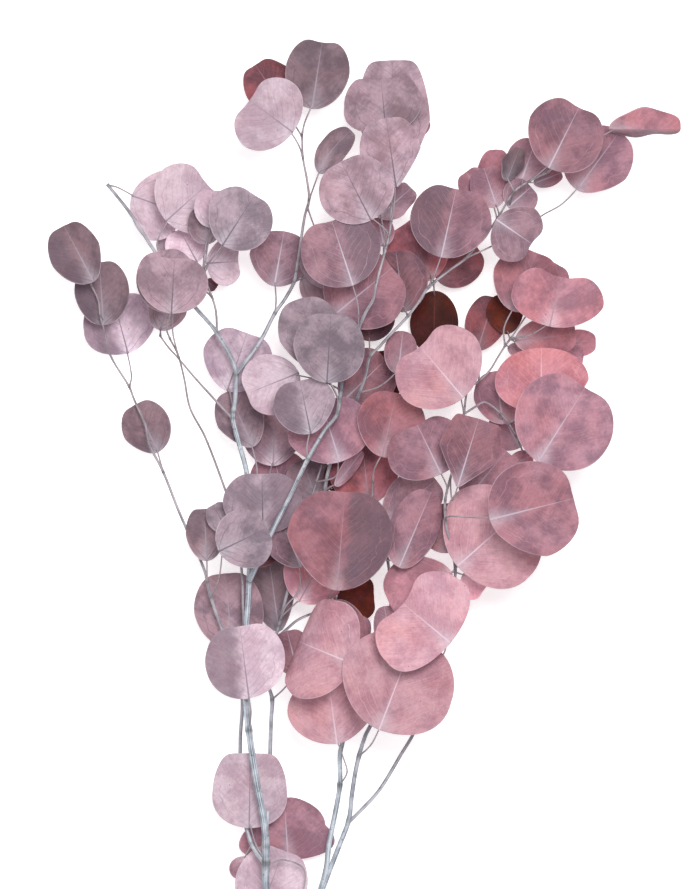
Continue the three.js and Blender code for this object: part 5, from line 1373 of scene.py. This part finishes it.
def grow_nodes(context, wanted):
    """Every CAD node that wanted picks, as blades, petioles and where it has one its shoot."""
    sizes = context.scene.branch_sizes
    store = kit()
    sprays = {stem["spray"]: name for name, stem in STEMS.items() if "spray" in stem}
    nodes = {}
    for facts, blade, path in store["plans"]:
        nodes.setdefault(facts["node"], []).append((facts, blade, path))
    for node, members in nodes.items():
        if (node in sprays) != wanted:
            continue
        strands = []
        if node in sprays:
            name = sprays[node]
            stem = STEMS[name]
            path, radii = stem_strand(name, stem["spray_at"], len(stem["route"]) - 1,
                                      store["joints"], sizes.swelling)
            scars = scars_on(path, store["joints"].get(name, ()), THIN_SCAR_REACH)
            strands.append((path, radii, scars))
        for facts, blade, corners in members:
            path = smooth_path(corners, PETIOLE_STEP)
            way = np.linspace(0, 1, len(path))
            run = np.concatenate([[0], np.cumsum(np.linalg.norm(np.diff(path, axis=0), axis=1))])
            foot = FOOT_SWELLING * np.exp(-((run / FOOT_LENGTH) ** 2))
            radius = sizes.petiole / MM * (1 + foot - PETIOLE_THINNING * way)
            strands.append((path, radius, FOOT_DARKNESS * np.exp(-((run / FOOT_SCAR_LENGTH) ** 2))))
        mesh = bpy.data.meshes.new(node)
        blades_into(mesh, [(facts, blade) for facts, blade, _ in members], sizes, store["tones"])
        piece = settle(node, [mesh, sweep(node, strands, max(6, sizes.sides - 4), store["twig"])])


class BRANCH_OT_sprays(bpy.types.Operator):
    """Grow the shoots at the ends of the stems, with all their leaves"""
    bl_idname = "branch.sprays"
    bl_label = "Sprays"

    def execute(self, context):
        grow_nodes(context, True)
        return {"FINISHED"}


class BRANCH_OT_leaves(bpy.types.Operator):
    """Grow the leaves that stand on the woody stems, each on its petiole"""
    bl_idname = "branch.leaves"
    bl_label = "Leaves"

    def execute(self, context):
        grow_nodes(context, False)
        return {"FINISHED"}


def paper_material(colour):
    """Matt white backdrop paper, lit a little from behind so that shadows stay soft."""
    material = bpy.data.materials.new("backdrop paper")
    material.use_nodes = True
    shader = material.node_tree.nodes["Principled BSDF"]
    shader.inputs["Base Color"].default_value = (*colour, 1)
    shader.inputs["Roughness"].default_value = 0.9
    shader.inputs["Specular IOR Level"].default_value = 0.1
    shader.inputs["Emission Color"].default_value = (1, 1, 1, 1)
    shader.inputs["Emission Strength"].default_value = 0.5
    return material


class BRANCH_OT_stage(bpy.types.Operator):
    """Lay the pale floor and set the soft lights and the camera"""
    bl_idname = "branch.stage"
    bl_label = "Stage"

    def execute(self, context):
        scene = context.scene
        stage = scene.branch_stage
        half = stage.floor / 2
        mesh = bpy.data.meshes.new("floor")
        corners = [(-half, -half, 0), (half, -half, 0), (half, half, 0), (-half, half, 0)]
        mesh.from_pydata(corners, [], [(0, 1, 2, 3)])
        mesh.materials.append(paper_material(stage.paper))
        floor = bpy.data.objects.new("floor", mesh)
        scene.collection.objects.link(floor)
        world = bpy.data.worlds.new("studio")
        world.use_nodes = True
        sky = world.node_tree.nodes["Background"]
        sky.inputs["Color"].default_value = (0.98, 0.98, 1, 1)
        sky.inputs["Strength"].default_value = 0.46
        scene.world = world
        for name, (spot, size, power) in LIGHTS.items():
            lamp = bpy.data.lights.new(name, "AREA")
            lamp.size = size
            lamp.energy = power
            holder = bpy.data.objects.new(name, lamp)
            holder.location = spot
            holder.rotation_euler = (Vector((0, 0, 0)) - Vector(spot)).to_track_quat("-Z", "Y").to_euler()
            scene.collection.objects.link(holder)
        camera = bpy.data.cameras.new("camera")
        tall = FRAME_PIXELS[1] * MM_PER_PIXEL * MM
        camera.sensor_fit = "VERTICAL"
        camera.sensor_height = 36
        camera.lens = camera.sensor_height * stage.distance / tall
        camera.clip_end = 100
        middle = place((FRAME_PIXELS[0] / 2, FRAME_PIXELS[1] / 2)) * MM
        holder = bpy.data.objects.new("camera", camera)
        holder.location = (middle[0], middle[1], stage.distance + stage.level)
        scene.collection.objects.link(holder)
        scene.camera = holder
        scene.view_settings.view_transform = "Standard"
        return {"FINISHED"}


class BRANCH_PT_panel(bpy.types.Panel):
    """The branch's pieces and their sizes"""
    bl_idname = "BRANCH_PT_panel"
    bl_label = "Eucalyptus branch"
    bl_space_type = "VIEW_3D"
    bl_region_type = "UI"
    bl_category = "Branch"

    def draw(self, context):
        for operator in OPERATORS:
            self.layout.operator(operator.bl_idname)
        for group in (context.scene.branch_sizes, context.scene.branch_stage, context.scene.branch_bark,
                      context.scene.branch_dyes):
            box = self.layout.box()
            for name in group.__annotations__:
                box.prop(group, name)


GROUPS = {"branch_dyes": LeafColours, "branch_bark": BarkColours,
          "branch_sizes": BranchSizes, "branch_stage": StageSizes}
OPERATORS = (BRANCH_OT_wood, BRANCH_OT_sprays, BRANCH_OT_leaves, BRANCH_OT_stage)


def register():
    for name, group in GROUPS.items():
        bpy.utils.register_class(group)
        setattr(bpy.types.Scene, name, bpy.props.PointerProperty(type=group))
    for piece in (*OPERATORS, BRANCH_PT_panel):
        bpy.utils.register_class(piece)


def unregister():
    for piece in (BRANCH_PT_panel, *reversed(OPERATORS)):
        bpy.utils.unregister_class(piece)
    for name, group in GROUPS.items():
        delattr(bpy.types.Scene, name)
        bpy.utils.unregister_class(group)


def main():
    register()
    bpy.ops.branch.wood()
    bpy.ops.branch.sprays()
    bpy.ops.branch.leaves()
    bpy.ops.branch.stage()


if __name__ == "__main__":
    main()
